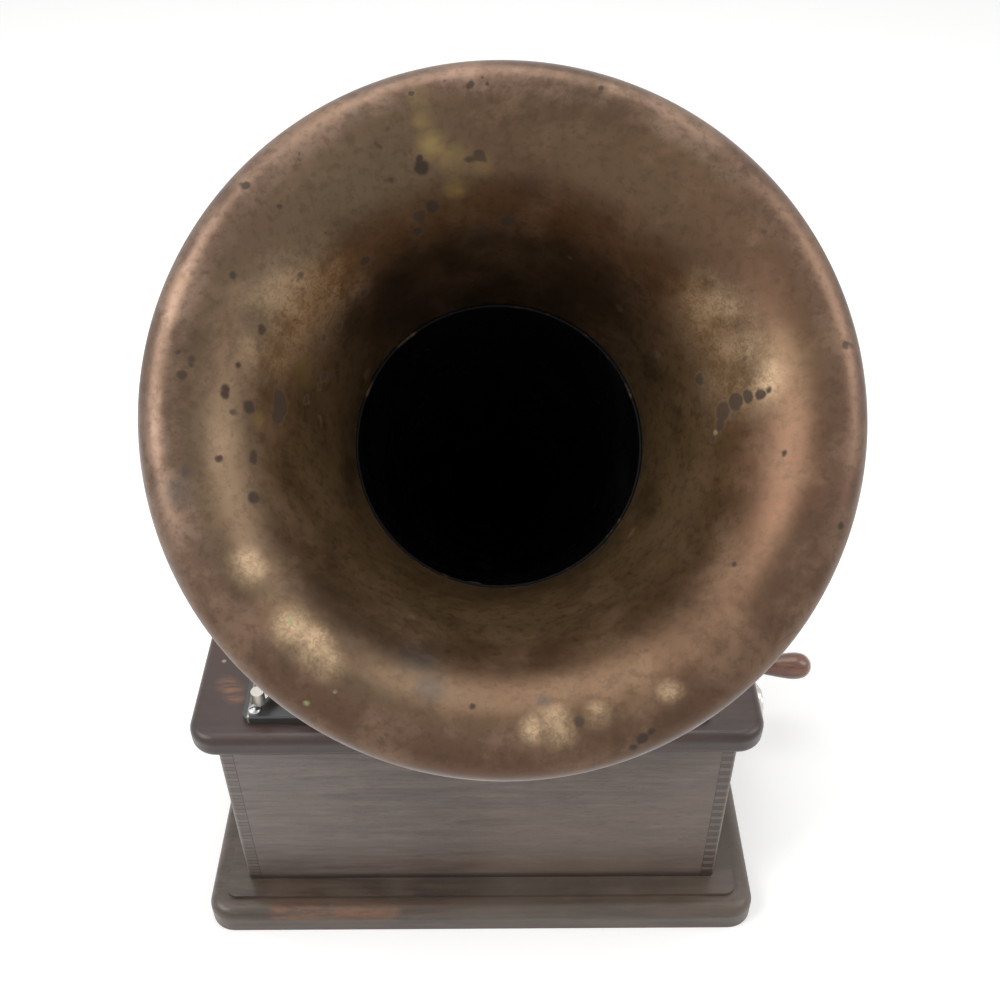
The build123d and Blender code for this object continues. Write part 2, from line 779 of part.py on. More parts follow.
# Carriage arm: hub, arch, eye and the foot that rides on the front rail
foot_bottom = rail_top + gap
leg_left = carriage_x - 6
leg_right = carriage_x + 6
ear_back = mandrel_y - 28.5
with BuildPart() as carriage_arm:
    rod(hub_left, hub_right, rod_y, rod_z, hub_radius)
    with BuildSketch(across(carriage_x - arm_width / 2)):
        with BuildLine():
            Polyline(
                (rod_y + 8, rod_z + 8),
                (rod_y - 12, arm_top),
                (mandrel_y + eye_inner + 1, arm_top),
                (mandrel_y + eye_inner + 1, arm_bottom),
                (rod_y - 28, arm_bottom),
                (rod_y - 9, rod_z - 8),
                close=True,
            )
        make_face()
    extrude(amount=arm_width)
    standing_rod(carriage_x, mandrel_y, arm_bottom, arm_top, eye_outer)
    with BuildSketch(across(leg_left)):
        with BuildLine():
            Polyline(
                (mandrel_y - eye_inner - 1, arm_top),
                (mandrel_y - eye_outer - 5, arm_top),
                (rail_y - 3.5, rail_top + 12),
                (rail_y - 3.5, foot_bottom),
                (ear_back, foot_bottom),
                (ear_back, rail_top + 14),
                (mandrel_y - eye_inner - 1, arm_bottom),
                close=True,
            )
        make_face()
    extrude(amount=leg_right - leg_left)
    ear_front = rail_back + 0.5
    with BuildSketch(Plane.XY.offset(foot_bottom)):
        with Locations(((leg_left + lever_x + lever_boss + 2) / 2, (ear_front + ear_back) / 2)):
            Rectangle(lever_x + lever_boss + 2 - leg_left, abs(ear_back - ear_front))
    extrude(amount=12)
    with BuildSketch(fore(rail_y - 2.5, lever_x, lever_z)):
        Circle(lever_pin)
    extrude(amount=ear_front + 0.5 - (rail_y - 2.5))
    standing_rod(carriage_x, mandrel_y, arm_bottom - 1, arm_top + 1, eye_inner, Mode.SUBTRACT)
    bore_along_x(hub_left, hub_right, rod_y, rod_z, sleeve_radius + running)
    clamp_z = (arm_bottom + arm_top) / 2
    bore_along_x(carriage_x, carriage_x + 40, mandrel_y, clamp_z, 2)
export(carriage_arm, "carriage_arm")

# Eye clamp: the thumb screw that holds the reproducer in the eye
with BuildPart() as eye_clamp_screw:
    clamp_start = carriage_x + eye_inner
    rod(clamp_start, carriage_x + eye_outer + 3, mandrel_y, clamp_z, 2)
    rod(carriage_x + eye_outer + 1, carriage_x + eye_outer + 6, mandrel_y, clamp_z, 4.5)
    chamfer(eye_clamp_screw.faces().sort_by(Axis.X)[-1].edges(), 0.6)
export(eye_clamp_screw, "eye_clamp_screw")

# Half nut: rests on the feed screw and hangs from the arm on its own leaf spring
nut_bottom = feed_z + 3
nut_top = feed_z + 8
nut_length = 20
with BuildPart() as half_nut:
    with BuildSketch(across(carriage_x - nut_length / 2)):
        with Locations((feed_y, (nut_bottom + nut_top) / 2)):
            Rectangle(12, nut_top - nut_bottom)
        with Locations(feed_centre):
            Circle(feed_radius + 2 * running, mode=Mode.SUBTRACT)
    extrude(amount=nut_length)
    with BuildSketch(across(carriage_x - 5)):
        with BuildLine():
            Polyline(
                (feed_y + 4, nut_top),
                (feed_y + 4, nut_top + 1),
                (feed_y - 3, nut_top + 1),
                (feed_y - 11, arm_bottom - 1),
                (feed_y - 11, arm_bottom),
                (feed_y - 20, arm_bottom),
                (feed_y - 20, arm_bottom - 1),
                (feed_y - 12, arm_bottom - 1),
                (feed_y - 4, nut_top),
                close=True,
            )
        make_face()
    extrude(amount=10)
export(half_nut, "half_nut")

# Lift lever: its toe bears down on the rail as it turns, and raises the whole carriage
with BuildPart() as lift_lever:
    lever_front = rail_y - 2
    lever_plane = fore(lever_front, lever_x, lever_z)
    lever_thickness = 4
    handle_lean = 15
    handle_end = (lever_handle * sin(radians(handle_lean)), lever_handle * cos(radians(handle_lean)))
    with BuildSketch(lever_plane):
        Circle(lever_boss)
        with Locations((-lever_toe, 0)):
            Circle(lever_tip)
        make_hull()
    extrude(amount=lever_thickness)
    with BuildSketch(lever_plane):
        Circle(lever_boss - 0.7)
        with Locations(handle_end):
            Circle(1.6)
        make_hull()
    extrude(amount=lever_thickness)
    with BuildSketch(lever_plane):
        with Locations(handle_end):
            Circle(3)
    extrude(amount=lever_thickness)
    with BuildSketch(lever_plane):
        Circle(lever_pin + running)
    extrude(amount=lever_thickness, mode=Mode.SUBTRACT)
export(lift_lever, "lift_lever")

# Reproducer body: the sound box in the eye, with its neck standing up to the horn
box_bottom = arm_bottom - 0.5
weight_top = box_bottom - gap
weight_bottom = weight_top - 3
weight_block = 8
hinge_y = mandrel_y - reproducer_radius + 4
hinge_z = (weight_top + weight_bottom) / 2
hinge_pin = 0.8
ear_thickness = 1.5
ear_length = 4
neck_top = horn_corner_z - bend_radius * tan(radians(90 - horn_tilt) / 2) - 1
with BuildPart() as reproducer_body:
    with BuildSketch(Plane(origin=(carriage_x, mandrel_y, 0), x_dir=(1, 0, 0), z_dir=(0, -1, 0))):
        with BuildLine():
            Polyline(
                (neck_bore, box_bottom + 4),
                (reproducer_radius - 3, box_bottom + 4),
                (reproducer_radius - 3, box_bottom),
                (reproducer_radius, box_bottom),
                (reproducer_radius, arm_top),
                (reproducer_radius + 2.5, arm_top),
                (reproducer_radius + 2.5, arm_top + 1.6),
                (reproducer_radius - 4, arm_top + 2.2),
                (neck_radius + 2, arm_top + 3),
                (neck_radius, arm_top + 4),
                (neck_radius, neck_top),
                (neck_bore, neck_top),
                close=True,
            )
        make_face()
    revolve(axis=Axis((carriage_x, mandrel_y, 0), (0, 0, 1)))
    for side in (-1, 1):
        with BuildSketch(Plane.XY.offset(weight_bottom)):
            with Locations((carriage_x + side * (weight_block / 2 + gap + ear_thickness / 2), hinge_y)):
                Rectangle(ear_thickness, ear_length)
        extrude(amount=box_bottom + 0.5 - weight_bottom)
    ear_reach = weight_block / 2 + gap + ear_thickness
    rod(carriage_x - ear_reach, carriage_x + ear_reach, hinge_y, hinge_z, hinge_pin)
export(reproducer_body, "reproducer_body")

# Diaphragm: the thin disc that closes the sound box
with BuildPart() as diaphragm:
    standing_rod(carriage_x, mandrel_y, box_bottom + 3, box_bottom + 4, reproducer_radius - 3)
export(diaphragm, "diaphragm")

# Reproducer weight: hinged at the front of the sound box, with its stylus over the mandrel
with BuildPart() as reproducer_weight:
    with BuildSketch(Plane.XY.offset(weight_bottom)):
        with Locations((carriage_x, mandrel_y)):
            Circle(reproducer_radius - 5)
        with Locations((carriage_x, hinge_y + 1)):
            Rectangle(weight_block, 6)
        make_hull()
        pocket = ear_thickness + 2 * gap
        for side in (-1, 1):
            with Locations((carriage_x + side * (weight_block / 2 + pocket), hinge_y)):
                Rectangle(2 * pocket, ear_length + 2 * gap, mode=Mode.SUBTRACT)
    extrude(amount=weight_top - weight_bottom)
    hinge_bore = hinge_pin + running
    bore_along_x(carriage_x - weight_block, carriage_x + weight_block, hinge_y, hinge_z, hinge_bore)
    standing_rod(carriage_x, mandrel_y, weight_bottom - 1.6, weight_bottom, 1.2)
    standing_rod(carriage_x, mandrel_y + reproducer_radius - 8, weight_top, weight_top + 2.2, 1)
export(reproducer_weight, "reproducer_weight")

# Horn frame: its corner over the neck, its own axis and a level direction square to it
tilt = radians(horn_tilt)
swing = radians(horn_swing)
horn_axis = Vector(sin(swing) * cos(tilt), -cos(swing) * cos(tilt), sin(tilt))
horn_side = Vector(cos(swing), sin(swing), 0)
horn_corner = Vector(carriage_x, mandrel_y, horn_corner_z)
horn_plane = Plane(origin=horn_corner, x_dir=horn_side, z_dir=horn_side.cross(horn_axis))
horn_line = Axis(horn_corner, horn_axis)
elbow_inner = neck_radius + running
elbow_outer = elbow_inner + elbow_wall
elbow_bottom = arm_top + 4.5

# Horn elbow: the bent tube that turns on the neck and plugs into the horn
with BuildPart() as horn_elbow:
    start_point = (carriage_x, mandrel_y, elbow_bottom)
    elbow_tip = horn_corner + horn_axis * elbow_end
    with BuildLine() as elbow_path:
        FilletPolyline(start_point, horn_corner, elbow_tip, radius=bend_radius)
    with BuildSketch(Plane.XY.offset(elbow_bottom)):
        with Locations((carriage_x, mandrel_y)):
            Circle(elbow_outer)
            Circle(elbow_inner, mode=Mode.SUBTRACT)
    sweep(path=elbow_path.line)
export(horn_elbow, "horn_elbow")

# Horn sleeve: the rubber ring that grips the foot of the elbow
with BuildPart() as horn_sleeve:
    standing_rod(carriage_x, mandrel_y, elbow_bottom, neck_top + 0.5, elbow_outer + sleeve_rubber)
    standing_rod(carriage_x, mandrel_y, elbow_bottom, neck_top + 0.5, elbow_outer, Mode.SUBTRACT)
export(horn_sleeve, "horn_sleeve")

# Horn cone: the long black taper from the elbow to the bell's throat
cone_start = elbow_end - 8
throat_at = horn_length - bell_depth
with BuildPart() as horn_cone:
    with BuildSketch(horn_plane):
        with BuildLine():
            Polyline(
                (elbow_outer, cone_start),
                (elbow_outer + sheet, cone_start),
                (elbow_outer + sheet, elbow_end + 2),
                (throat_radius, throat_at),
                (throat_radius - sheet, throat_at),
                (elbow_outer, elbow_end + 2),
                close=True,
            )
        make_face()
    revolve(axis=horn_line)
export(horn_cone, "horn_cone")

# Horn bell: the spun brass flare, whose lip is turned back and ends in a wired edge
lip_centre = (mouth_radius - lip_radius, horn_length)
half_sheet = sheet / 2


def lip_point(degrees_up, inset):
    """A point of the lip's arc, at an angle above its widest ring."""
    across_lip, along_lip = polar(lip_radius - inset, radians(degrees_up))
    return (lip_centre[0] + across_lip, lip_centre[1] + along_lip)


with BuildPart() as horn_bell:
    with BuildSketch(horn_plane) as bell_profile:
        with BuildLine():
            crest = lip_point(90 + lip_lean, half_sheet)
            Bezier(
                (throat_radius + half_sheet, throat_at),
                (throat_radius + 5 + half_sheet, throat_at + 24),
                (crest[0] - 20 * cos(radians(lip_lean)), crest[1] - 20 * sin(radians(lip_lean))),
                crest,
            )
            ThreePointArc(crest, lip_point(45, half_sheet), lip_point(-lip_end, half_sheet))
        trace(line_width=sheet)
        with Locations(lip_point(-lip_end, half_sheet + bead)):
            Circle(bead)
    revolve(bell_profile.sketch, axis=horn_line)
export(horn_bell, "horn_bell")

# Winding shaft: from the spring's core through the right wall to the crank
with BuildPart() as winding_shaft:
    rod(centre_plate, crank_arm_left, crank_y, crank_z, winding_radius)
export(winding_shaft, "winding_shaft")

# Crank arm: a flat bar with a hub, and the pin that its handle turns on
handle_left = crank_arm_left + crank_arm_thickness + gap
handle_right = handle_left + handle_length
pin_end = handle_right - handle_radius - 2
with BuildPart() as crank_arm:
    with BuildSketch(across(crank_arm_left)):
        with Locations((crank_y, crank_z)):
            Circle(crank_hub)
        with Locations((handle_y, handle_z)):
            Circle(crank_hub - 3)
        make_hull()
    extrude(amount=crank_arm_thickness)
    fillet(crank_arm.faces().sort_by(Axis.X)[-1].edges(), 1.5)
    rod(escutcheon_face + 1, crank_arm_left, crank_y, crank_z, crank_hub)
    bore_along_x(escutcheon_face + 1, crank_arm_left, crank_y, crank_z, winding_radius)
    rod(crank_arm_left + crank_arm_thickness, pin_end, handle_y, handle_z, handle_pin)
export(crank_arm, "crank_arm")

# Crank handle: a turned, pear-shaped grip with a blind bore over the pin
with BuildPart() as crank_handle:
    with BuildSketch(Plane(origin=(0, handle_y, handle_z), x_dir=(1, 0, 0), z_dir=(0, -1, 0))):
        with BuildLine():
            bottom_line = Line((handle_left, 0), (handle_left, handle_radius * 0.62))
            neck = Line(bottom_line @ 1, (handle_left + 2, handle_radius * 0.62))
            body_curve = Spline(
                neck @ 1,
                (handle_left + handle_length * 0.3, handle_radius * 0.62),
                (handle_right - handle_radius * 1.1, handle_radius),
                (handle_right, 0),
                tangents=((1, -0.25), (0, -1)),
            )
            Line(body_curve @ 1, bottom_line @ 0)
        make_face()
    revolve(axis=Axis((0, handle_y, handle_z), (1, 0, 0)))
    bore_along_x(handle_left, pin_end + gap, handle_y, handle_z, handle_pin + running)
export(crank_handle, "crank_handle")

# Centres of the motor's arbors, worked out from the gears that have to mesh
barrel_centre = (crank_y, crank_z)
drive_centre = (drive_y, drive_z)
governor_centre = (governor_y, governor_z)
barrel_reach = gear_module * (barrel_teeth + barrel_pinion_teeth) / 2
second_reach = train_module * (second_teeth + drive_pinion_teeth) / 2
second_centre = third_corner(barrel_centre, drive_centre, barrel_reach, second_reach, -1)
second_phase = meshing_phase(drive_centre, second_centre, drive_pinion_teeth, 0, second_teeth)
barrel_phase = meshing_phase(second_centre, barrel_centre, barrel_pinion_teeth, 0, barrel_teeth)
governor_phase = meshing_phase(drive_centre, governor_centre, governor_teeth, 0, governor_pinion_teeth)
low_pillar = (plate_front + 9, plate_bottom + 8)
back_pillar = (plate_back - 10, plate_bottom + 6)
pawl_centre = (crank_y + 24, crank_z - 14)
stud = 2.5


def motor_plate(left):
    """One brass plate of the motor, bent over at the top to bolt under the bedplate."""
    with BuildPart() as plate:
        with BuildSketch(across(left)):
            with Locations(((plate_front + plate_back) / 2, (plate_bottom + deck_top) / 2)):
                RectangleRounded(plate_back - plate_front, deck_top - plate_bottom, 3)
        extrude(amount=plate_thickness)
        with BuildSketch(Plane.XY.offset(deck_top - 3)):
            with Locations((left + plate_thickness / 2 + 6, (plate_front + plate_back) / 2)):
                Rectangle(plate_thickness + 12, plate_back - plate_front)
        extrude(amount=3)
        for y in (plate_front + 8, plate_back - 8):
            screw_x = left + plate_thickness + 6
            standing_rod(screw_x, y, deck_top - 3, deck_top, screw_shank, Mode.SUBTRACT)
        for y, z in (low_pillar, back_pillar):
            bore_along_x(left, left + plate_thickness, y, z, pillar_radius)
    return plate.part


brake_pivot_x = -50
brake_pivot_z = 150
brake_back = speed_y + 3
brake_front = speed_y - 3
with BuildPart() as motor_plates:
    add(motor_plate(left_plate))
    right_of_left = left_plate + plate_thickness
    bore_along_x(left_plate, right_of_left, drive_y, drive_z, drive_radius + running)
    bore_along_x(left_plate, right_of_left, governor_y, governor_z, spindle_radius + running)
    with BuildSketch(fore(brake_front - gap - 2.5, 0, 0)):
        with Locations((-(right_of_left + brake_pivot_x + 4) / 2, brake_pivot_z)):
            Rectangle(brake_pivot_x + 4 - right_of_left, 9)
    extrude(amount=2.5)
    with BuildSketch(fore(brake_front - gap - 2.5, brake_pivot_x, brake_pivot_z)):
        Circle(1.5)
    extrude(amount=brake_back - brake_front + gap + 2.5 + 1)
    add(motor_plate(centre_plate))
    right_of_centre = centre_plate + plate_thickness
    bore_along_x(centre_plate, right_of_centre, drive_y, drive_z, drive_radius + running)
    bore_along_x(centre_plate, right_of_centre, governor_y, governor_z, spindle_radius + running)
    bore_along_x(centre_plate, right_of_centre, second_centre[0], second_centre[1], arbor_radius + running)
    bore_along_x(centre_plate, right_of_centre, crank_y, crank_z, winding_radius + running)
    add(motor_plate(right_plate))
    right_of_right = right_plate + plate_thickness
    bore_along_x(right_plate, right_of_right, second_centre[0], second_centre[1], arbor_radius + running)
    bore_along_x(right_plate, right_of_right, crank_y, crank_z, winding_radius + running)
    rod(right_of_right, right_of_right + ratchet_thickness + 3, pawl_centre[0], pawl_centre[1], stud)
export(motor_plates, "motor_plates")

# Motor pillars: the rods and their spacers that keep the three plates apart
with BuildPart() as motor_pillars:
    for y, z in (low_pillar, back_pillar):
        rod(left_plate - 3, right_of_right + 3, y, z, pillar_radius)
        rod(right_of_left, centre_plate, y, z, pillar_radius + 1.5)
        rod(right_of_centre, right_plate, y, z, pillar_radius + 1.5)
        rod(left_plate - 3, left_plate, y, z, pillar_radius + 2.5)
        rod(right_of_right, right_of_right + 3, y, z, pillar_radius + 2.5)
export(motor_pillars, "motor_pillars")

# Great wheel: the spring barrel's toothed end
with BuildPart() as great_wheel:
    add(
        spur_gear(
            across(great_wheel_left, *barrel_centre),
            barrel_teeth,
            gear_module,
            wheel_thickness,
            barrel_phase,
            winding_radius + running,
        )
    )
export(great_wheel, "great_wheel")

# Spring barrel: the drum that holds the mainspring, closed at its right end
with BuildPart() as spring_barrel:
    barrel_right = barrel_left + barrel_length
    rod(barrel_left, barrel_right, crank_y, crank_z, barrel_radius)
    chamfer(spring_barrel.faces().sort_by(Axis.X)[-1].edges(), 1)
    inside_right = barrel_right - 2 * barrel_wall
    bore_along_x(barrel_left, inside_right, crank_y, crank_z, barrel_radius - barrel_wall)
    bore_along_x(inside_right, barrel_right, crank_y, crank_z, winding_radius + running)
export(spring_barrel, "spring_barrel")

# Mainspring: one flat strip wound from near the shaft out to the drum, as half turns of growing radius
with BuildPart() as mainspring:
    spring_start = winding_radius + 3
    spring_end = barrel_radius - barrel_wall - gap - spring_strip / 2
    half_turns = 2 * spring_turns
    growth = (spring_end - spring_start) / (half_turns - 0.5)
    with BuildSketch(across(barrel_left + 2, *barrel_centre)):
        with BuildLine():
            for half in range(half_turns):
                side = 1 if half % 2 == 0 else -1
                CenterArc((side * growth / 2, 0), spring_start + half * growth, 90 - 90 * side, 180)
        trace(line_width=spring_strip)
    extrude(amount=inside_right - barrel_left - 3)
export(mainspring, "mainspring")

# Pawl: a pivoted click whose finger stands between two of the ratchet's teeth
click_left = right_of_right + 1.5
pawl_run = hypot(barrel_centre[0] - pawl_centre[0], barrel_centre[1] - pawl_centre[1])
hook_radius = 1.2
hook_reach = ratchet_tip + 2 * gap + hook_radius
pawl_arm = sqrt(pawl_run**2 - hook_reach**2)
hook = third_corner(pawl_centre, barrel_centre, pawl_arm, hook_reach, 1)
finger_radius = 0.6
finger_reach = ratchet_tip - 1
face_offset = finger_radius + 0.5
hook_angle = atan2(hook[1] - barrel_centre[1], hook[0] - barrel_centre[0])
steep_face = hook_angle - asin(face_offset / hook_reach)
finger_y, finger_z = polar(finger_reach, steep_face + asin(face_offset / finger_reach))
finger = (barrel_centre[0] + finger_y, barrel_centre[1] + finger_z)
with BuildPart() as pawl:
    with BuildSketch(across(click_left)):
        with Locations(pawl_centre):
            Circle(stud + 2)
        with Locations(hook):
            Circle(hook_radius)
        make_hull()
    extrude(amount=ratchet_thickness)
    with BuildSketch(across(click_left)):
        with Locations(hook):
            Circle(hook_radius)
        with Locations(finger):
            Circle(finger_radius)
        make_hull()
    extrude(amount=ratchet_thickness)
    bore_along_x(click_left, click_left + ratchet_thickness, pawl_centre[0], pawl_centre[1], stud + running)
export(pawl, "pawl")

# Ratchet wheel: its steep faces meet the pawl's finger, so the winding shaft can't turn back
with BuildPart() as ratchet_wheel:
    with BuildSketch(across(click_left, *barrel_centre)):
        with BuildLine():
            points = []
            for tooth in range(ratchet_teeth):
                angle = steep_face - 2 * pi * tooth / ratchet_teeth
                points.append(polar(ratchet_root, angle))
                points.append(polar(ratchet_tip, angle))
            Polyline(*points, close=True)
        make_face()
        Circle(winding_radius, mode=Mode.SUBTRACT)
    extrude(amount=ratchet_thickness)
export(ratchet_wheel, "ratchet_wheel")

# Second arbor: its pinion is driven by the great wheel, and its wheel drives the third arbor
second_wheel_left = -1
second_wheel_face = 3
with BuildPart() as second_arbor:
    rod(centre_plate, right_of_right, second_centre[0], second_centre[1], arbor_radius)
    pinion_plane = across(great_wheel_left - 2, *second_centre)
    pinion_face = wheel_thickness + 4
    add(spur_gear(pinion_plane, barrel_pinion_teeth, gear_module, pinion_face, 0, arbor_radius))
export(second_arbor, "second_arbor")
with BuildPart() as second_wheel:
    wheel_plane = across(second_wheel_left, *second_centre)
    add(spur_gear(wheel_plane, second_teeth, train_module, second_wheel_face, second_phase, arbor_radius))
export(second_wheel, "second_wheel")

# Drive arbor: carries the belt pulley outside the plates and the governor's wheel between them
governor_wheel_left = -16
with BuildPart() as drive_arbor:
    rod(pulley_left - 1, right_of_centre, drive_y, drive_z, drive_radius)
    drive_plane = across(right_of_centre, *drive_centre)
    add(spur_gear(drive_plane, drive_pinion_teeth, train_module, 8, 0, spindle_radius))
    rod(right_of_centre, right_of_centre + 8, drive_y, drive_z, spindle_radius)
export(drive_arbor, "drive_arbor")
with BuildPart() as governor_wheel:
    governor_plane = across(governor_wheel_left, *drive_centre)
    add(spur_gear(governor_plane, governor_teeth, train_module, second_wheel_face, 0, drive_radius))
export(governor_wheel, "governor_wheel")

# Governor spindle, with its pinion and the fixed collar of the leaf springs
spring_right = -24
spring_left = -48
collar_radius = 5
with BuildPart() as governor_spindle:
    rod(left_plate, right_of_centre, governor_y, governor_z, spindle_radius)
    pinion_at = across(governor_wheel_left - 2, *governor_centre)
    add(spur_gear(pinion_at, governor_pinion_teeth, train_module, 7, governor_phase, spindle_radius))
    rod(spring_right, spring_right + 4, governor_y, governor_z, collar_radius)
export(governor_spindle, "governor_spindle")

# Governor disc: slides on the spindle against the brake, with the springs' other collar
disc_thickness = 2
with BuildPart() as governor_disc:
    rod(spring_left - disc_thickness, spring_left, governor_y, governor_z, disc_radius)
    rod(spring_left, spring_left + 3, governor_y, governor_z, collar_radius)
    bore_along_x(spring_left - disc_thickness, spring_left + 3, governor_y, governor_z, spindle_radius)
export(governor_disc, "governor_disc")

# Governor weights: three leaf springs that bow outwards, each with a ball at its middle
leaf = 0.6
leaf_width = 4
with BuildPart() as governor_weights:
    for turn in range(3):
        angle = radians(90 + 120 * turn)
        out = (0, cos(angle), sin(angle))
        flat = Plane(
            origin=(0, governor_y, governor_z),
            x_dir=(1, 0, 0),
            z_dir=(0, -sin(angle), cos(angle)),
        )
        middle_x = (spring_left + spring_right) / 2 + 1
        with BuildSketch(flat.offset(-leaf_width / 2)):
            with BuildLine():
                low_arc = ThreePointArc(
                    (spring_left, collar_radius),
                    (middle_x, governor_reach),
                    (spring_right + 4, collar_radius),
                )
                high_arc = ThreePointArc(
                    (spring_left, collar_radius + leaf),
                    (middle_x, governor_reach + leaf),
                    (spring_right + 4, collar_radius + leaf),
                )
                Line(low_arc @ 0, high_arc @ 0)
                Line(low_arc @ 1, high_arc @ 1)
            make_face()
        extrude(amount=leaf_width)
        centre = governor_reach + leaf + ball_radius - 0.4
        spot = Pos(middle_x, governor_y + centre * out[1], governor_z + centre * out[2])
        add(spot * Sphere(ball_radius, mode=Mode.PRIVATE))
export(governor_weights, "governor_weights")

# Brake lever: a bell crank with a leather-faced pad beside the governor's disc
pad_gap = 1.2
leg_x = spring_left + pad_gap + 2
with BuildPart() as brake_lever:
    lever_plane = fore(brake_front, 0, 0)
    thick = brake_back - brake_front
    with BuildSketch(lever_plane):
        with Locations((-brake_pivot_x, brake_pivot_z)):
            Circle(4)
        with Locations((-(leg_x + 1.25), (brake_pivot_z + governor_z) / 2)):
            Rectangle(2.5, brake_pivot_z - governor_z)
        with Locations((-(brake_pivot_x + speed_x) / 2, brake_pivot_z)):
            Rectangle(speed_x - brake_pivot_x + 3, 3)
        with Locations((-brake_pivot_x, brake_pivot_z)):
            Circle(1.5 + running, mode=Mode.SUBTRACT)
    extrude(amount=thick)
    with BuildSketch(across(leg_x - 2, speed_y, governor_z + 2)):
        Rectangle(6, 8)
    extrude(amount=2)
export(brake_lever, "brake_lever")

# Speed screw: the knurled screw through the bedplate that presses the brake lever
with BuildPart() as speed_screw:
    standing_rod(speed_x, speed_y, brake_pivot_z + 1.5 + gap, bed_top + 1, stop_radius)
    standing_rod(speed_x, speed_y, bed_top + 1, bed_top + 7, 7)
    chamfer(speed_screw.faces().sort_by(Axis.Z)[-1].edges(), 0.8)
export(speed_screw, "speed_screw")

# Stop lever: a handle above the bedplate, a spindle through it and an arm with a pad at the pulley
stop_arm_z = drive_z + 11
with BuildPart() as stop_lever:
    standing_rod(stop_x, stop_y, stop_arm_z - 2, bed_top + 9, stop_radius)
    standing_rod(stop_x, stop_y, bed_top + gap, bed_top + 3, stop_radius + 2.5)
    handle_tip = (stop_x - 8, stop_y - 15)
    with BuildSketch(Plane.XY.offset(bed_top + 5)):
        with Locations((stop_x, stop_y)):
            Circle(5)
        with Locations(handle_tip):
            Circle(3)
        make_hull()
    extrude(amount=3)
    standing_rod(handle_tip[0], handle_tip[1], bed_top + 8, bed_top + 14, 3.5)
    pad_x = pulley_left - gap - 2
    with BuildSketch(Plane.XY.offset(stop_arm_z - 2)):
        with Locations((stop_x, stop_y)):
            Circle(5)
        with Locations((pad_x, drive_y)):
            Circle(2)
        make_hull()
    extrude(amount=4)
export(stop_lever, "stop_lever")
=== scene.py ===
# %% [markdown]
# # A cylinder phonograph, dressed and lit
#
# The solids of this phonograph were drawn to the millimetre in a CAD program. This lesson loads them as
# a fixed frame, gives every surface its finish, and replaces the few pieces that need finer shapes than
# a solid can hold: the spun bell, the screws and the threads. The soldered cone keeps its solid and gains
# a rolled end and a folded seam.

# %% Load the frame
import json
import math
import bmesh
import bpy
from mathutils import Matrix, Vector


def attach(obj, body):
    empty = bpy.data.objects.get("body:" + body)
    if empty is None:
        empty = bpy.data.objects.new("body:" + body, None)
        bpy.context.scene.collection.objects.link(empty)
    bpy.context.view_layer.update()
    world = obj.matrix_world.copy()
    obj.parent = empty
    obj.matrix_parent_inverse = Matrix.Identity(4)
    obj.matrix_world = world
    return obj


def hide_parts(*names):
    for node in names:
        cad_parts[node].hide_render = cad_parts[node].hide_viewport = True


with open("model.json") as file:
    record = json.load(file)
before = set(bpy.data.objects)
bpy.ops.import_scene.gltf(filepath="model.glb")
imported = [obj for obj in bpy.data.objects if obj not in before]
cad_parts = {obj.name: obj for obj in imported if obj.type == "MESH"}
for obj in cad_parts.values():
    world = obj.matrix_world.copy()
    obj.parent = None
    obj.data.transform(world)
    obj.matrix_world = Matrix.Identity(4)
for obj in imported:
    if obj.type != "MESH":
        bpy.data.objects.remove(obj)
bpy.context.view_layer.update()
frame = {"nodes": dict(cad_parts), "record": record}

# %% [markdown]
# ## Small helpers for node trees
#
# A material and a Geometry Nodes tree are both graphs. Writing each node as one call keeps a finish
# readable: the kind of node, what goes into its sockets, and its settings. A socket can be given a plain
# value or another node's output, and the helper tells them apart.

# %% One call for each node
def node(tree, kind, inputs=None, **settings):
    """Add a node, set its settings, and fill or link its input sockets."""
    made = tree.nodes.new(kind)
    for key, value in settings.items():
        setattr(made, key, value)
    for key, value in (inputs or {}).items():
        if isinstance(value, bpy.types.NodeSocket):
            tree.links.new(value, made.inputs[key])
        else:
            made.inputs[key].default_value = value
    return made


def maths(tree, operation, first, second=0.0, clamp=False):
    """One Math node's result."""
    return node(tree, "ShaderNodeMath", {0: first, 1: second}, operation=operation, use_clamp=clamp).outputs[0]


def plus(tree, first, second):
    """A sum."""
    return maths(tree, "ADD", first, second)


def less(tree, first, second, clamp=False):
    """A difference."""
    return maths(tree, "SUBTRACT", first, second, clamp)


def times(tree, first, second):
    """A product."""
    return maths(tree, "MULTIPLY", first, second)


def larger(tree, first, second):
    """The larger of two."""
    return maths(tree, "MAXIMUM", first, second)


def spread(tree, value, low, high, to_low=0.0, to_high=1.0):
    """A value remapped from one span to another, with smooth ends."""
    made = node(tree, "ShaderNodeMapRange", {0: value, 1: low, 2: high, 3: to_low, 4: to_high})
    made.interpolation_type = "SMOOTHSTEP"
    return made.outputs[0]


def blend(tree, factor, first, second, mode="MIX"):
    """Two colours mixed by a factor."""
    made = node(tree, "ShaderNodeMix", {0: factor, 6: first, 7: second}, data_type="RGBA", blend_type=mode)
    return made.outputs[2]


def speckle(tree, where, scale, detail=4.0, roughness=0.55, distortion=0.0):
    """Soft noise read at a place."""
    sizes = {"Vector": where, "Scale": scale, "Detail": detail}
    sizes.update({"Roughness": roughness, "Distortion": distortion})
    return node(tree, "ShaderNodeTexNoise", sizes).outputs["Fac"]


def placed(tree, scale=(1, 1, 1), turn=(0, 0, 0), shift=(0, 0, 0)):
    """The object's own coordinates, shifted, turned and stretched."""
    seen = node(tree, "ShaderNodeTexCoord").outputs["Object"]
    return node(tree, "ShaderNodeMapping", {0: seen, 1: shift, 2: turn, 3: scale}).outputs[0]


def parts_of(tree, vector):
    """The three numbers of a vector."""
    return node(tree, "ShaderNodeSeparateXYZ", {0: vector}).outputs


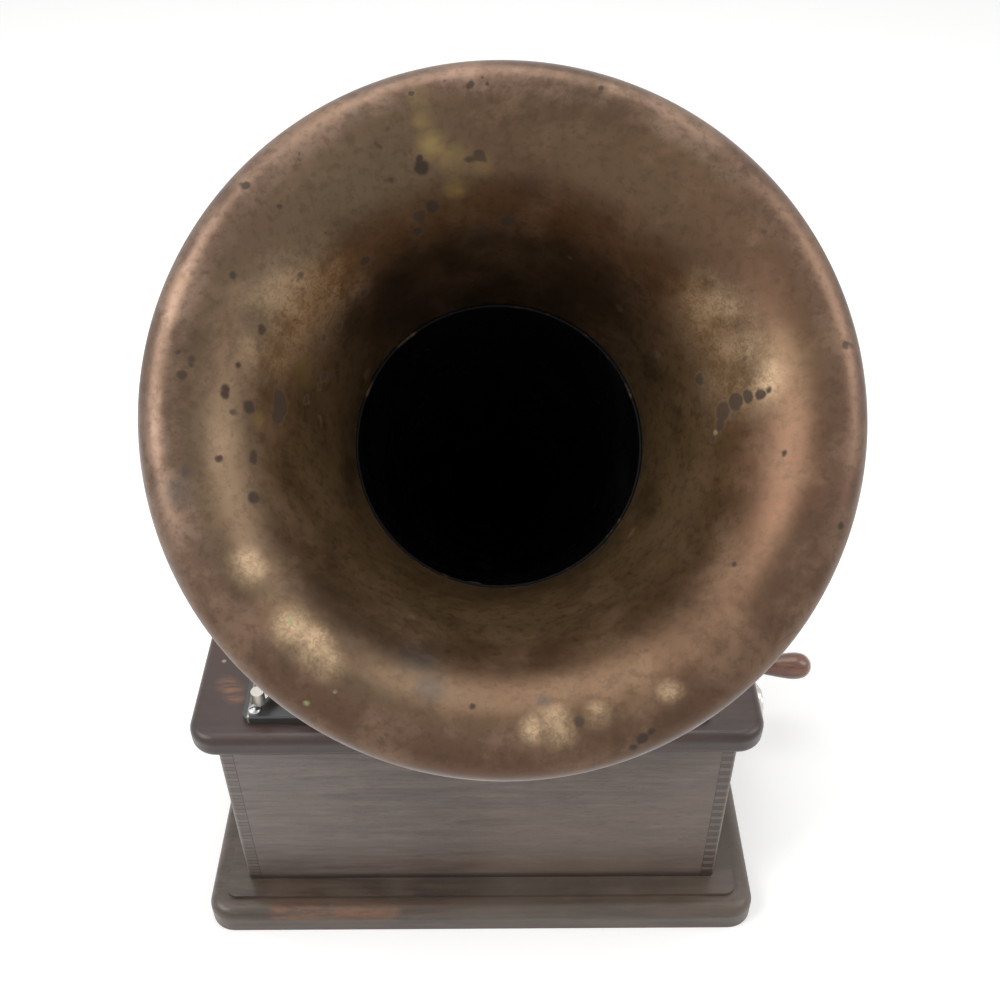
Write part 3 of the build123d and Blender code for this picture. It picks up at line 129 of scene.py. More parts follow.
def new_finish(name, base=(0.5, 0.5, 0.5), rough=0.5, metal=0.0, coat=0.0, coat_rough=0.1, level=0.5):
    """A new material and the tree and shader it is made of."""
    finish = bpy.data.materials.new(name)
    finish.use_nodes = True
    tree = finish.node_tree
    shader = tree.nodes["Principled BSDF"]
    shader.inputs["Base Color"].default_value = (*base, 1)
    shader.inputs["Roughness"].default_value = rough
    shader.inputs["Metallic"].default_value = metal
    shader.inputs["Coat Weight"].default_value = coat
    shader.inputs["Coat Roughness"].default_value = coat_rough
    shader.inputs["Specular IOR Level"].default_value = level
    finish.diffuse_color = (*base, 1)
    return finish, tree, shader


def raise_surface(tree, shader, height, strength, distance):
    """A bump from a height."""
    bump = node(tree, "ShaderNodeBump", {"Strength": strength, "Distance": distance, "Height": height})
    tree.links.new(bump.outputs[0], shader.inputs["Normal"])
    return bump


def plug(tree, value, shader, name):
    """Feed one of the shader's sockets."""
    tree.links.new(value, shader.inputs[name])


def wear(node_name, finish):
    """Give a CAD piece its finish."""
    mesh = frame["nodes"][node_name].data
    mesh.materials.clear()
    mesh.materials.append(finish)


def nearness(tree, where, marks, outer=1.15, inner=0.75):
    """1 inside any of the marks and 0 outside them all, with soft edges."""
    total = None
    for right_of, above, along, radius in marks:
        spot = (right_of / 1000, above / 1000, along / 1000)
        away = node(tree, "ShaderNodeVectorMath", {0: where, 1: spot}, operation="DISTANCE").outputs["Value"]
        mark = spread(tree, away, radius * outer / 1000, radius * inner / 1000)
        total = mark if total is None else larger(tree, total, mark)
    return total


print("helpers ready")

# %% [markdown]
# ## The camera
#
# The camera stands in front of the horn and looks down into the bell. Its place, tilt and lens were
# solved from straight edges and the bell's two rings, so the model needs no fitting afterwards. Turning
# the three directions of the view into a matrix is safer than typing angles, because the order of
# rotations can't be mistaken.

# %% Camera at the photograph's viewpoint
camera_data = bpy.data.cameras.new("camera")
camera_data.lens = 42.65
camera_data.sensor_width = 36
camera_data.clip_start = 0.01
camera = bpy.data.objects.new("camera", camera_data)
bpy.context.scene.collection.objects.link(camera)
pitch = math.radians(40.02)
roll = math.radians(0.39)
yaw = math.radians(0.06)
forward = Vector((-math.sin(yaw) * math.cos(pitch), math.cos(yaw) * math.cos(pitch), -math.sin(pitch)))
level_right = Vector((math.cos(yaw), math.sin(yaw), 0))
level_down = forward.cross(level_right)
right = level_right * math.cos(roll) + level_down * math.sin(roll)
down = level_down * math.cos(roll) - level_right * math.sin(roll)
turn = Matrix((right, -down, -forward)).transposed()
camera.matrix_world = Matrix.Translation((0.0136, -0.5012, 0.6622)) @ turn.to_4x4()
bpy.context.scene.camera = camera
print("camera at", tuple(camera.location))

# %% [markdown]
# ## Floor, world and lamps
#
# The photograph was taken on a white sweep: the background is nearly white and the shadow under the case
# is soft and close. The white comes from the floor's and the world's own brightness as the camera and the
# metal see them, and not from stronger lamps, so the object itself is lit at a plain level.

# %% A white sweep
floor_finish, tree, shader = new_finish("pale_floor", (0.86, 0.86, 0.855), 0.9, level=0.1)
seen_by = node(tree, "ShaderNodeLightPath").outputs
mirrored = larger(tree, seen_by["Is Glossy Ray"], seen_by["Is Transmission Ray"])
direct = larger(tree, seen_by["Is Camera Ray"], mirrored)
glow = node(tree, "ShaderNodeEmission", {"Color": (1, 1, 0.995, 1), "Strength": 0.30})
nothing = node(tree, "ShaderNodeEmission", {"Strength": 0.0})
lift = node(tree, "ShaderNodeMixShader", {0: direct, 1: nothing.outputs[0], 2: glow.outputs[0]})
both = node(tree, "ShaderNodeAddShader", {0: shader.outputs[0], 1: lift.outputs[0]})
tree.links.new(both.outputs[0], tree.nodes["Material Output"].inputs["Surface"])
floor_mesh = bpy.data.meshes.new("floor")
reach = 6.0
floor_corners = [(-reach, -reach, 0), (reach, -reach, 0), (reach, reach, 0), (-reach, reach, 0)]
floor_mesh.from_pydata(floor_corners, [], [(0, 1, 2, 3)])
floor_mesh.materials.append(floor_finish)
floor = bpy.data.objects.new("floor", floor_mesh)
bpy.context.scene.collection.objects.link(floor)

world = bpy.data.worlds.new("studio")
world.use_nodes = True
bpy.context.scene.world = world
tree = world.node_tree
seen_by = node(tree, "ShaderNodeLightPath").outputs
mirrored = larger(tree, seen_by["Is Glossy Ray"], seen_by["Is Transmission Ray"])
direct = larger(tree, seen_by["Is Camera Ray"], mirrored)
backdrop = node(tree, "ShaderNodeBackground", {"Color": (1, 1, 1, 1), "Strength": 1.0})
dim = tree.nodes["Background"]
dim.inputs["Color"].default_value = (1, 1, 1, 1)
dim.inputs["Strength"].default_value = 0.5
mixed = node(tree, "ShaderNodeMixShader", {0: direct, 1: dim.outputs[0], 2: backdrop.outputs[0]})
tree.links.new(mixed.outputs[0], tree.nodes["World Output"].inputs["Surface"])


def soft_lamp(name, place, aim, width, height, watts):
    """A rectangular lamp that points at a spot."""
    data = bpy.data.lights.new(name, "AREA")
    data.shape = "RECTANGLE"
    data.size = width
    data.size_y = height
    data.energy = watts
    lamp = bpy.data.objects.new(name, data)
    lamp.location = place
    direction = Vector(aim) - Vector(place)
    lamp.rotation_euler = direction.to_track_quat("-Z", "Y").to_euler()
    bpy.context.scene.collection.objects.link(lamp)
    return lamp


soft_lamp("window_left", (-1.5, -0.6, 1.7), (0, -0.1, 0.3), 1.2, 1.2, 22)
soft_lamp("window_right", (1.6, -0.3, 1.5), (0, -0.1, 0.3), 0.9, 1.2, 10)
soft_lamp("overhead", (0, 0.5, 2.2), (0, 0, 0.2), 1.6, 1.2, 14)
print("stage ready")

# %% [markdown]
# ## Old varnished walnut
#
# The case is dark walnut under a century of varnish: long grain lines, short dark pores, a dull grey
# sheen where light grazes it, and reddish brown where hands have rubbed the edges thin. Grain is noise
# that is stretched far along one direction. Each board gets its own direction, so the same recipe is
# written once with the direction as a setting.

# %% Walnut recipe
finger_pitch = 0.1322 / 41
wall_foot = 0.0195


def finger_lines_and_foot_shade(tree, tone):
    """Dark glue lines between the fingers at the four corners of the case, and a painted shade along the foot
    of the walls where they meet the base.
    """
    x, y, z = parts_of(tree, placed(tree))
    x = maths(tree, "ABSOLUTE", x)
    y = maths(tree, "ABSOLUTE", y)
    count = maths(tree, "DIVIDE", less(tree, z, wall_foot), finger_pitch)
    from_line = maths(tree, "PINGPONG", count, 0.5)
    between = spread(tree, from_line, 0.035, 0.11, 1, 0)
    past_x = spread(tree, x, 0.1338, 0.1340)
    past_y = spread(tree, y, 0.0863, 0.0865)
    lines = times(tree, between, times(tree, past_x, past_y))
    seam_x = maths(tree, "ABSOLUTE", less(tree, x, 0.1340))
    seam_x = times(tree, spread(tree, seam_x, 0.0001, 0.0003, 1, 0), past_y)
    seam_y = maths(tree, "ABSOLUTE", less(tree, y, 0.0865))
    seam_y = times(tree, spread(tree, seam_y, 0.0001, 0.0003, 1, 0), past_x)
    gaps = larger(tree, lines, larger(tree, seam_x, seam_y))
    tone = blend(tree, times(tree, gaps, 0.8), tone, (0.012, 0.008, 0.007, 1))
    # Painted shade: the walls darken over their lowest millimetres, where they meet the base moulding.
    foot_shade = spread(tree, z, 0.0265, 0.0205, 0, 0.75)
    return blend(tree, foot_shade, tone, (0.014, 0.010, 0.009, 1))


def walnut(name, along, deep, warm, bloom, joints_sheen_and_shade=False, rubs=(), dings=(), soft_edge=None):
    """Varnished walnut: grain along an axis, three tones, and the places where it is rubbed or dented; a
    jointed panel also gets a painted grey sheen strongest on the left, its finger joints and a painted shade
    along its foot.
    """
    finish, tree, shader = new_finish(name, warm, 0.42, coat=0.22, coat_rough=0.28, level=0.5)
    axis = "xyz".index(along)
    stretch = [14, 14, 14]
    stretch[axis] = 1
    seen = placed(tree)
    rings = speckle(tree, placed(tree, stretch), 9, 5, 0.6, 1.4)
    pores = speckle(tree, placed(tree, [3 * s for s in stretch]), 40, 3, 0.7)
    cloud = speckle(tree, seen, 7, 3, 0.5)
    figure = speckle(tree, placed(tree, (1, 1, 3.5), (0, 0.7, 0)), 34, 4, 0.6, 0.6)
    haze = speckle(tree, placed(tree, (0.5, 1, 5), (0, -0.5, 0)), 60, 5, 0.65)
    tone = blend(tree, spread(tree, rings, 0.32, 0.68), (*deep, 1), (*warm, 1))
    tone = blend(tree, spread(tree, cloud, 0.36, 0.70, 0, 0.75), tone, (*bloom, 1))
    tone = blend(tree, spread(tree, figure, 0.45, 0.72, 0, 0.35), tone, (*bloom, 1))
    tone = blend(tree, spread(tree, haze, 0.50, 0.70, 0, 0.25), tone, (*[1.5 * c for c in bloom], 1))
    tone = blend(tree, spread(tree, pores, 0.60, 0.72, 0, 0.6), tone, (*[0.5 * c for c in deep], 1))
    facing = parts_of(tree, node(tree, "ShaderNodeTexCoord").outputs["Normal"])[axis]
    end_grain = spread(tree, maths(tree, "ABSOLUTE", facing), 0.75, 0.95)
    end_dots = speckle(tree, seen, 900, 3, 0.6)
    end_tone = blend(tree, end_dots, (*[0.45 * c for c in deep], 1), (*[0.8 * c for c in warm], 1))
    tone = blend(tree, times(tree, end_grain, 0.85), tone, end_tone)
    if joints_sheen_and_shade:
        # Painted sheen: a pale grey, strongest towards the left end and broken by the haze noise, stands for
        # the varnish's sheen.
        from_left = spread(tree, parts_of(tree, seen)[0], 0.02, -0.145, 0, 0.55)
        painted_sheen = times(tree, from_left, spread(tree, haze, 0.30, 0.62, 0.5, 1))
        tone = blend(tree, painted_sheen, tone, (0.205, 0.172, 0.158, 1))
        tone = finger_lines_and_foot_shade(tree, tone)
    broken = spread(tree, speckle(tree, placed(tree, (1, 5, 5)), 60, 6, 0.7), 0.36, 0.62, 0.1, 1)
    if soft_edge:
        height = parts_of(tree, seen)[2]
        edge = times(tree, spread(tree, height, soft_edge, 0.0, 0, 0.8), broken)
        tone = blend(tree, edge, tone, (0.11, 0.045, 0.025, 1))
    if rubs:
        rubbed = times(tree, nearness(tree, seen, rubs, 1.8, 0.1), broken)
        tone = blend(tree, rubbed, tone, (0.19, 0.085, 0.040, 1))
    if dings:
        tone = blend(tree, nearness(tree, seen, dings, 1.2, 0.6), tone, (0.30, 0.22, 0.15, 1))
    plug(tree, tone, shader, "Base Color")
    plug(tree, spread(tree, cloud, 0.3, 0.7, 0.36, 0.52), shader, "Roughness")
    height = less(tree, times(tree, rings, 0.4), spread(tree, pores, 0.58, 0.72, 0, 1))
    raise_surface(tree, shader, height, 0.35, 0.0004)
    return finish


panel_tones = ((0.045, 0.026, 0.018), (0.102, 0.064, 0.045), (0.168, 0.124, 0.100))
board_tones = ((0.014, 0.005, 0.003), (0.034, 0.012, 0.007), (0.052, 0.026, 0.018))
foot_tones = ((0.034, 0.022, 0.016), (0.092, 0.058, 0.040), (0.110, 0.086, 0.066))
front_wood = walnut("walnut_front", "x", *panel_tones, joints_sheen_and_shade=True)
side_wood = walnut("walnut_side", "y", *panel_tones, joints_sheen_and_shade=True)
deck_rubs = [(-138, -67, 167, 4.5), (-134, -72, 167, 5), (-131, -77, 167, 4)]
deck_wood = walnut("walnut_deck", "x", *board_tones, rubs=deck_rubs, dings=[(-142.1, -50.3, 167, 1.3)])
base_rubs = [(x, -114, 14, 5) for x in range(-122, -52, 4)]
base_wood = walnut("walnut_base", "x", *foot_tones, rubs=base_rubs, soft_edge=0.004)
for name in ("front_panel", "back_panel"):
    wear(name, front_wood)
for name in ("left_panel", "right_panel"):
    wear(name, side_wood)
wear("deck_frame", deck_wood)
wear("base_moulding", base_wood)
print("walnut on the case")

# %% [markdown]
# ## Metals and the other finishes
#
# Each metal is a Principled shader with a high metallic value, and its life is in the roughness: fine
# turning marks on steel, soft clouding on nickel, and warm stains on brass.

# %% Plain metal recipe
def metal(name, colour, dark, rough, cloud_scale=60.0, grain=(1, 1, 1), metallic=1.0, marks=0.15):
    """A metal with clouded tone and uneven gloss."""
    finish, tree, shader = new_finish(name, colour, rough, metallic)
    cloud = speckle(tree, placed(tree), cloud_scale, 4, 0.6)
    lines = speckle(tree, placed(tree, grain), 260, 3, 0.6)
    tone = blend(tree, spread(tree, cloud, 0.35, 0.7), (*colour, 1), (*dark, 1))
    plug(tree, tone, shader, "Base Color")
    uneven = plus(tree, spread(tree, cloud, 0.3, 0.7, rough - 0.07, rough + 0.1), times(tree, lines, 0.08))
    plug(tree, uneven, shader, "Roughness")
    raise_surface(tree, shader, lines, marks, 0.0001)
    return finish


nickel = metal("dulled_nickel", (0.66, 0.63, 0.58), (0.48, 0.45, 0.40), 0.24, 35)
steel = metal("turned_steel", (0.50, 0.50, 0.51), (0.33, 0.32, 0.31), 0.30, 50, (30, 1, 1))
spring_steel = metal("blued_steel", (0.16, 0.18, 0.24), (0.10, 0.09, 0.10), 0.28, 50)
works_brass = metal("works_brass", (0.66, 0.46, 0.19), (0.42, 0.27, 0.11), 0.30, 40, (1, 20, 20))
rubber, tree, shader = new_finish("perished_rubber", (0.03, 0.027, 0.024), 0.72, level=0.35)
cracks = speckle(tree, placed(tree), 900, 4, 0.7)
raise_surface(tree, shader, cracks, 0.4, 0.0002)
mica, tree, shader = new_finish("mica_disc", (0.75, 0.70, 0.58), 0.15, level=0.6)
flakes = speckle(tree, placed(tree), 220, 3, 0.5)
plug(tree, blend(tree, flakes, (0.80, 0.76, 0.64, 1), (0.62, 0.55, 0.42, 1)), shader, "Base Color")
softwood, tree, shader = new_finish("bare_softwood", (0.36, 0.23, 0.13), 0.75)
rings = speckle(tree, placed(tree, (1, 14, 14)), 12, 4, 0.6, 1.0)
plug(tree, blend(tree, rings, (0.42, 0.28, 0.16, 1), (0.25, 0.15, 0.08, 1)), shader, "Base Color")
for slot_name, finish in (
    ("nickel", nickel),
    ("steel", steel),
    ("spring_steel", spring_steel),
    ("brass", works_brass),
    ("rubber", rubber),
    ("mica", mica),
    ("bottom_wood", softwood),
):
    for subpart in frame["record"]["subparts"]:
        if subpart["material_slot"] == slot_name:
            wear(subpart["node"], finish)
print("metals on the works")

# %% [markdown]
# ## Black japanning
#
# Iron was coated with a baked black asphalt varnish. It is nearly black, softly glossy, and shows fine
# scratches and dust. The bedplate carries a thin gilt line a little way inside its edge.

# %% Japanned iron and the bedplate's line
def japanning(name, line=None):
    """Baked black varnish on iron, with a painted line where a half size is given, and pale chips at given
    spots that stand for glints on nicks as painted highlights.
    """
    finish, tree, shader = new_finish(name, (0.012, 0.012, 0.013), 0.3, coat=0.3, coat_rough=0.2)
    cloud = speckle(tree, placed(tree), 30, 5, 0.6)
    scratch = speckle(tree, placed(tree, (90, 4, 4), (0, 0, 0.5)), 20, 2, 0.5)
    tone = blend(tree, spread(tree, cloud, 0.4, 0.75), (0.010, 0.010, 0.011, 1), (0.030, 0.029, 0.028, 1))
    tone = blend(tree, spread(tree, scratch, 0.70, 0.78, 0, 0.35), tone, (0.12, 0.12, 0.12, 1))
    if line:
        half_width, inset, width, chips = line
        across = maths(tree, "ABSOLUTE", parts_of(tree, placed(tree))[0])
        off = maths(tree, "ABSOLUTE", less(tree, half_width - inset, across))
        painted = spread(tree, off, width / 2, width / 2 + 0.0002, 1, 0)
        worn = spread(tree, speckle(tree, placed(tree), 160, 4, 0.6), 0.30, 0.42, 0.2, 1)
        tone = blend(tree, 0.6, tone, (0.055, 0.057, 0.056, 1))
        tone = blend(tree, times(tree, painted, worn), tone, (0.24, 0.22, 0.16, 1))
        # Painted highlights: pale chips at the given spots stand in for glints on nicks in the japanning.
        tone = blend(tree, nearness(tree, placed(tree), chips, 1.2, 0.7), tone, (0.62, 0.60, 0.54, 1))
    plug(tree, tone, shader, "Base Color")
    plug(tree, spread(tree, cloud, 0.3, 0.7, 0.24, 0.42), shader, "Roughness")
    raise_surface(tree, shader, cloud, 0.2, 0.0002)
    return finish


japanned = japanning("black_japanning")
# Two pale chips at the front-left corner: nicks in the japanning, painted pale as their glints.
corner_glint_chips = [(-123.9, -93.9, 172, 0.7), (-121.0, -94.1, 172, 0.6)]
japanned_bed = japanning("black_japanning_lined", (0.1245, 0.0033, 0.0008, corner_glint_chips))
for name in ("left_pedestal", "right_pedestal", "gear_cover", "gate_post", "end_gate"):
    wear(name, japanned)
wear("bedplate", japanned_bed)
print("iron is black")

# %% [markdown]
# ## Leather belt
#
# A flat belt of oiled leather drives the mandrel from the motor below. It is dark, matt and slightly
# polished where it runs on the pulleys.

# %% Leather
leather, tree, shader = new_finish("belt_leather", (0.16, 0.08, 0.04), 0.6)
hide = speckle(tree, placed(tree), 500, 5, 0.6)
plug(tree, blend(tree, hide, (0.20, 0.105, 0.055, 1), (0.10, 0.05, 0.028, 1)), shader, "Base Color")
raise_surface(tree, shader, hide, 0.4, 0.0002)
wear("belt", leather)
wear("crank_handle", leather)
print("belt done")

# %% [markdown]
# ## The horn's own directions
#
# Bell and cone are round about an axis that leans back and up from the sound box. A matrix that takes
# the turned shape from the origin to that axis lets both be made upright and then put in place, and the
# same matrix, read backwards by a Mapping node, lets the patina follow the bell.

# %% Horn frame
horn_corner = Vector((0.006, -0.056, 0.276))
horn_axis = Vector((0.029663, -0.69327, 0.720067)).normalized()
horn_side = Vector((math.cos(math.radians(2.45)), math.sin(math.radians(2.45)), 0))
horn_up = horn_axis.cross(horn_side).normalized()
horn_turn = Matrix((horn_side, horn_up, horn_axis)).transposed()
horn_place = Matrix.Translation(horn_corner) @ horn_turn.to_4x4()
horn_angles = horn_turn.to_euler()
throat_radius = 0.0427
throat_at = 0.2446
mouth_at = 0.2983
mouth_radius = 0.0890
lip_radius = 0.0080
lip_lean = math.radians(9)
lip_end = math.radians(20)
sheet = 0.0008
bead = 0.0013


def horn_coordinates(tree):
    """Places measured in the horn's own directions, from its corner: right, up and along."""
    seen = node(tree, "ShaderNodeTexCoord").outputs["Object"]
    sizes = {0: seen, 1: tuple(horn_corner), 2: tuple(horn_angles)}
    return node(tree, "ShaderNodeMapping", sizes, vector_type="TEXTURE").outputs[0]


print("horn axis", tuple(horn_axis))

# %% [markdown]
# ## Shapes turned by Geometry Nodes
#
# A spun bell is the plainest rule there is: one curve, turned round an axis. The tree lays out a flat
# grid, reads a Bezier curve at each row, and wraps the grid round the axis at that radius. Its sizes are
# named inputs, so a wider bell is one number. A sheet is given its thickness by
# extruding it along its normals and joining the two skins, and the loose edges are merged.

# %% Helpers for turned shapes
def new_tree(name, sizes):
    """A Geometry Nodes tree with named inputs: (name, kind, value)."""
    tree = bpy.data.node_groups.new(name, "GeometryNodeTree")
    tree.interface.new_socket("Geometry", in_out="OUTPUT", socket_type="NodeSocketGeometry")
    for label, kind, value in sizes:
        socket = tree.interface.new_socket(label, in_out="INPUT", socket_type="NodeSocket" + kind)
        socket.default_value = value
    given = tree.nodes.new("NodeGroupInput")
    return tree, given.outputs


def end_tree(tree, geometry, finish):
    """Every tree ends the same way: real geometry with its finish."""
    real = node(tree, "GeometryNodeRealizeInstances", {0: geometry})
    dressed = node(tree, "GeometryNodeSetMaterial", {"Geometry": real.outputs[0], "Material": finish})
    out = tree.nodes.new("NodeGroupOutput")
    tree.links.new(dressed.outputs[0], out.inputs[0])


def run_tree(name, tree, sizes=None, seeds=None):
    """Run a tree and keep its result as a plain mesh at the origin."""
    piece = bpy.data.objects.new(name, seeds or bpy.data.meshes.new(name))
    bpy.context.scene.collection.objects.link(piece)
    modifier = piece.modifiers.new(name, "NODES")
    modifier.node_group = tree
    for item in tree.interface.items_tree:
        if item.in_out == "INPUT" and item.name in (sizes or {}):
            modifier[item.identifier] = sizes[item.name]
    evaluated = piece.evaluated_get(bpy.context.evaluated_depsgraph_get())
    result = bpy.data.meshes.new_from_object(evaluated)
    piece.modifiers.clear()
    piece.data = result
    print(name, len(result.polygons), "faces")
    return piece


def combine(tree, x=0.0, y=0.0, z=0.0):
    """A vector from three numbers."""
    return node(tree, "ShaderNodeCombineXYZ", {0: x, 1: y, 2: z}).outputs[0]


def turned(tree, profile, around, along):
    """Wrap a grid round Z, with its radius and height read from a profile curve's x and y."""
    grid = node(
        tree,
        "GeometryNodeMeshGrid",
        {"Size X": 1.0, "Size Y": 1.0, "Vertices X": around, "Vertices Y": along},
    )
    mapped = node(
        tree,
        "GeometryNodeStoreNamedAttribute",
        {"Geometry": grid.outputs["Mesh"], "Name": "turned_map", "Value": grid.outputs["UV Map"]},
        data_type="FLOAT2",
        domain="CORNER",
    )
    x, y, z = parts_of(tree, node(tree, "GeometryNodeInputPosition").outputs[0])
    angle = times(tree, plus(tree, x, 0.5), math.tau)
    row = plus(tree, y, 0.5)
    sample = node(tree, "GeometryNodeSampleCurve", {"Curves": profile, "Factor": row}, mode="FACTOR")
    radius, height = parts_of(tree, sample.outputs["Position"])[:2]
    cosine = times(tree, radius, maths(tree, "COSINE", angle))
    sine = times(tree, radius, maths(tree, "SINE", angle))
    wrapped = node(
        tree,
        "GeometryNodeSetPosition",
        {"Geometry": mapped.outputs[0], "Position": combine(tree, cosine, sine, height)},
    )
    closed = node(tree, "GeometryNodeMergeByDistance", {"Geometry": wrapped.outputs[0], "Distance": 0.000005})
    return closed.outputs[0]


def sheet_metal(tree, skin, thickness):
    """Two skins and their edges, from one skin whose faces look away from the metal."""
    back = node(tree, "GeometryNodeFlipFaces", {"Mesh": skin}).outputs[0]
    grown = node(
        tree,
        "GeometryNodeExtrudeMesh",
        {"Mesh": back, "Offset Scale": thickness, "Individual": False},
        mode="FACES",
    )
    joined = node(tree, "GeometryNodeJoinGeometry")
    tree.links.new(skin, joined.inputs[0])
    tree.links.new(grown.outputs[0], joined.inputs[0])
    welded = node(tree, "GeometryNodeMergeByDistance", {"Geometry": joined.outputs[0], "Distance": 0.000005})
    return welded.outputs[0]


print("turning tools ready")

# %% [markdown]
# ## Aged brass
#
# The bell was once bright brass. Now it is brown like a chestnut, pinkish towards the rim, with pink mottling
# along the lip that is a painted highlight on the upper left and top, tan patches that are painted highlights
# of the lamps, dark round stains from damp, and a few green crusts. Near the throat it is painted lighter
# below and kept dark at the top, as painted light and painted shade. Broad noise mixes the browns, and single
# marks are placed by their spot on the bell, each a distance from a point.

# %% Marks on the bell
# Each mark is its place on the bell and its radius, in millimetres: right, up and along the horn's axis.
damp_spots = [
    (-53.7, 51.2, 304.5, 0.8), (-43.7, 47.5, 296.8, 0.5), (-47.4, 51.3, 301.7, 0.4), (-41.6, 51.3, 298.4, 0.4),
    (-56.6, 38.3, 300.5, 0.6), (-65.6, 34.4, 304.4, 0.9), (-52.8, 35.5, 295.6, 0.7), (-51.2, 36.2, 294.5, 0.9),
    (-35.2, 43.8, 284.1, 1.4), (-36.4, 37.6, 276.0, 1.4), (-43.3, 28.9, 275.3, 1.4), (-47.1, 25.0, 278.3, 1.1),
    (-60.2, 22.8, 296.5, 1.2), (-62.0, 26.2, 299.6, 0.6), (-49.4, 30.4, 287.4, 0.4), (-78.2, 15.1, 306.2, 0.8),
    (-75.2, 13.5, 305.4, 0.8), (-75.2, 12.3, 305.3, 0.7), (-65.5, 13.1, 299.1, 0.9), (-77.7, 9.6, 305.9, 1.1),
    (-68.6, 6.8, 301.0, 1.1), (-68.7, 5.8, 301.1, 1.1), (-63.9, 3.4, 296.0, 1.5), (-52.3, 8.5, 277.5, 1.3),
    (-48.2, 15.8, 272.0, 1.4), (-49.3, 13.2, 272.9, 1.1), (-47.4, 15.4, 269.6, 0.8), (-69.7, -10.5, 302.2, 0.9),
    (-63.0, -8.7, 295.6, 1.2), (-63.1, -9.9, 295.9, 1.2), (-62.5, -19.8, 297.9, 1.5), (-36.5, 23.9, 249.0, 0.6),
    (-62.5, 56.6, 305.6, 0.6), (-48.5, 63.6, 306.2, 0.6), (-48.4, 62.1, 306.0, 0.6), (44.7, 20.5, 267.8, 0.9),
    (53.0, 10.3, 279.8, 1.5), (-16.9, 56.5, 289.1, 1.5), (-20.9, 51.8, 283.6, 1.4), (-22.3, 49.4, 280.3, 1.0),
    (2.7, 54.8, 281.5, 1.7), (-18.7, 63.2, 298.2, 1.6), (-19.1, 64.8, 299.8, 0.9), (-1.8, 80.3, 306.3, 0.7),
    (13.5, 80.9, 306.2, 0.5), (26.2, 78.4, 306.1, 0.8), (20.4, 46.9, 273.1, 0.8), (-10.8, -71.8, 303.6, 0.8),
    (54.7, -40.2, 300.1, 0.8), (78.2, -28.7, 306.0, 0.6), (78.9, -31.6, 305.2, 1.0), (28.8, -79.9, 305.3, 1.3),
    (30.8, -78.4, 305.6, 1.0), (26.8, -81.8, 304.5, 1.0), (14.4, -75.8, 305.6, 1.2), (-57.8, -30.8, 297.8, 0.7),
]
dark_blotch = [
    (-57.6, 7.1, 287.6, 2.5), (-57.6, 5.1, 287.2, 3.0), (-58.3, 2.4, 288.0, 2.5), (57.3, 0.1, 286.2, 2.8),
    (55.2, -6.7, 283.1, 1.2), (56.6, -2.8, 285.1, 1.9), (59.7, 1.9, 290.3, 2.5), (62.1, 2.3, 293.8, 1.8),
    (64.6, 2.5, 296.8, 1.6), (66.1, 3.4, 298.5, 1.3),
]
ring_stains = [
    (-61.3, 56.1, 306.0, 1.5), (-12.2, 81.1, 306.2, 1.1), (-6.0, 80.2, 306.3, 1.2), (-3.3, 82.0, 306.2, 0.9),
    (68.4, -13.5, 301.6, 1.2), (-20.7, 78.4, 306.3, 1.0),
]
# Tan patches: painted highlights where the lamps reflect in the flare and near the lower lip.
tan_highlight_patches = [
    (-51.2, 29.4, 289.3, 11.5), (-42.6, 37.1, 284.8, 7.2), (-57.4, 19.9, 291.8, 7.1), (54.5, 23.6, 289.7, 9.3),
    (58.8, 12.2, 290.8, 9.8), (64.2, 6.6, 296.7, 4.8), (-53.1, -51.4, 304.3, 3.4), (-47.8, -56.1, 304.2, 3.9),
    (-43.8, -60.9, 304.8, 3.1), (-63.3, -36.4, 303.8, 3.4), (18.4, -74.8, 305.6, 2.3), (8.9, -76.7, 305.6, 3.3),
    (3.3, -77.3, 305.7, 2.3), (36.0, -69.6, 305.9, 2.1),
]
gilt_patches = [
    (-52.6, 15.1, 281.3, 3.6), (-18.5, 77.6, 306.2, 2.8), (-18.1, 73.0, 304.9, 2.8), (-15.8, 67.9, 301.6, 3.7),
    (-10.3, 65.2, 298.3, 4.0), (-9.9, 60.3, 292.3, 3.3), (-3.5, 64.0, 296.1, 2.7), (-62.1, 0.5, 293.7, 2.2),
]
green_crusts = [
    (55.7, -4.8, 283.7, 1.1), (56.9, -4.4, 285.8, 0.4), (57.8, -3.8, 287.4, 0.4), (-53.1, -50.0, 303.8, 1.4),
    (-49.0, -69.0, 305.4, 1.1), (-42.4, -66.9, 306.1, 0.9), (-66.7, -37.7, 305.4, 0.6),
    (-62.9, -46.1, 305.8, 0.6),
]
grey_clouds = [
    (-4.2, 52.3, 276.4, 4.5), (1.2, 52.3, 276.0, 2.8), (-78.3, -18.5, 306.3, 4.1), (-76.5, -13.7, 305.8, 2.3),
    (-23.4, -60.3, 296.8, 5.9), (-20.6, -67.3, 302.1, 4.2), (6.1, -71.3, 303.0, 2.1),
]
print(len(damp_spots), "damp spots")

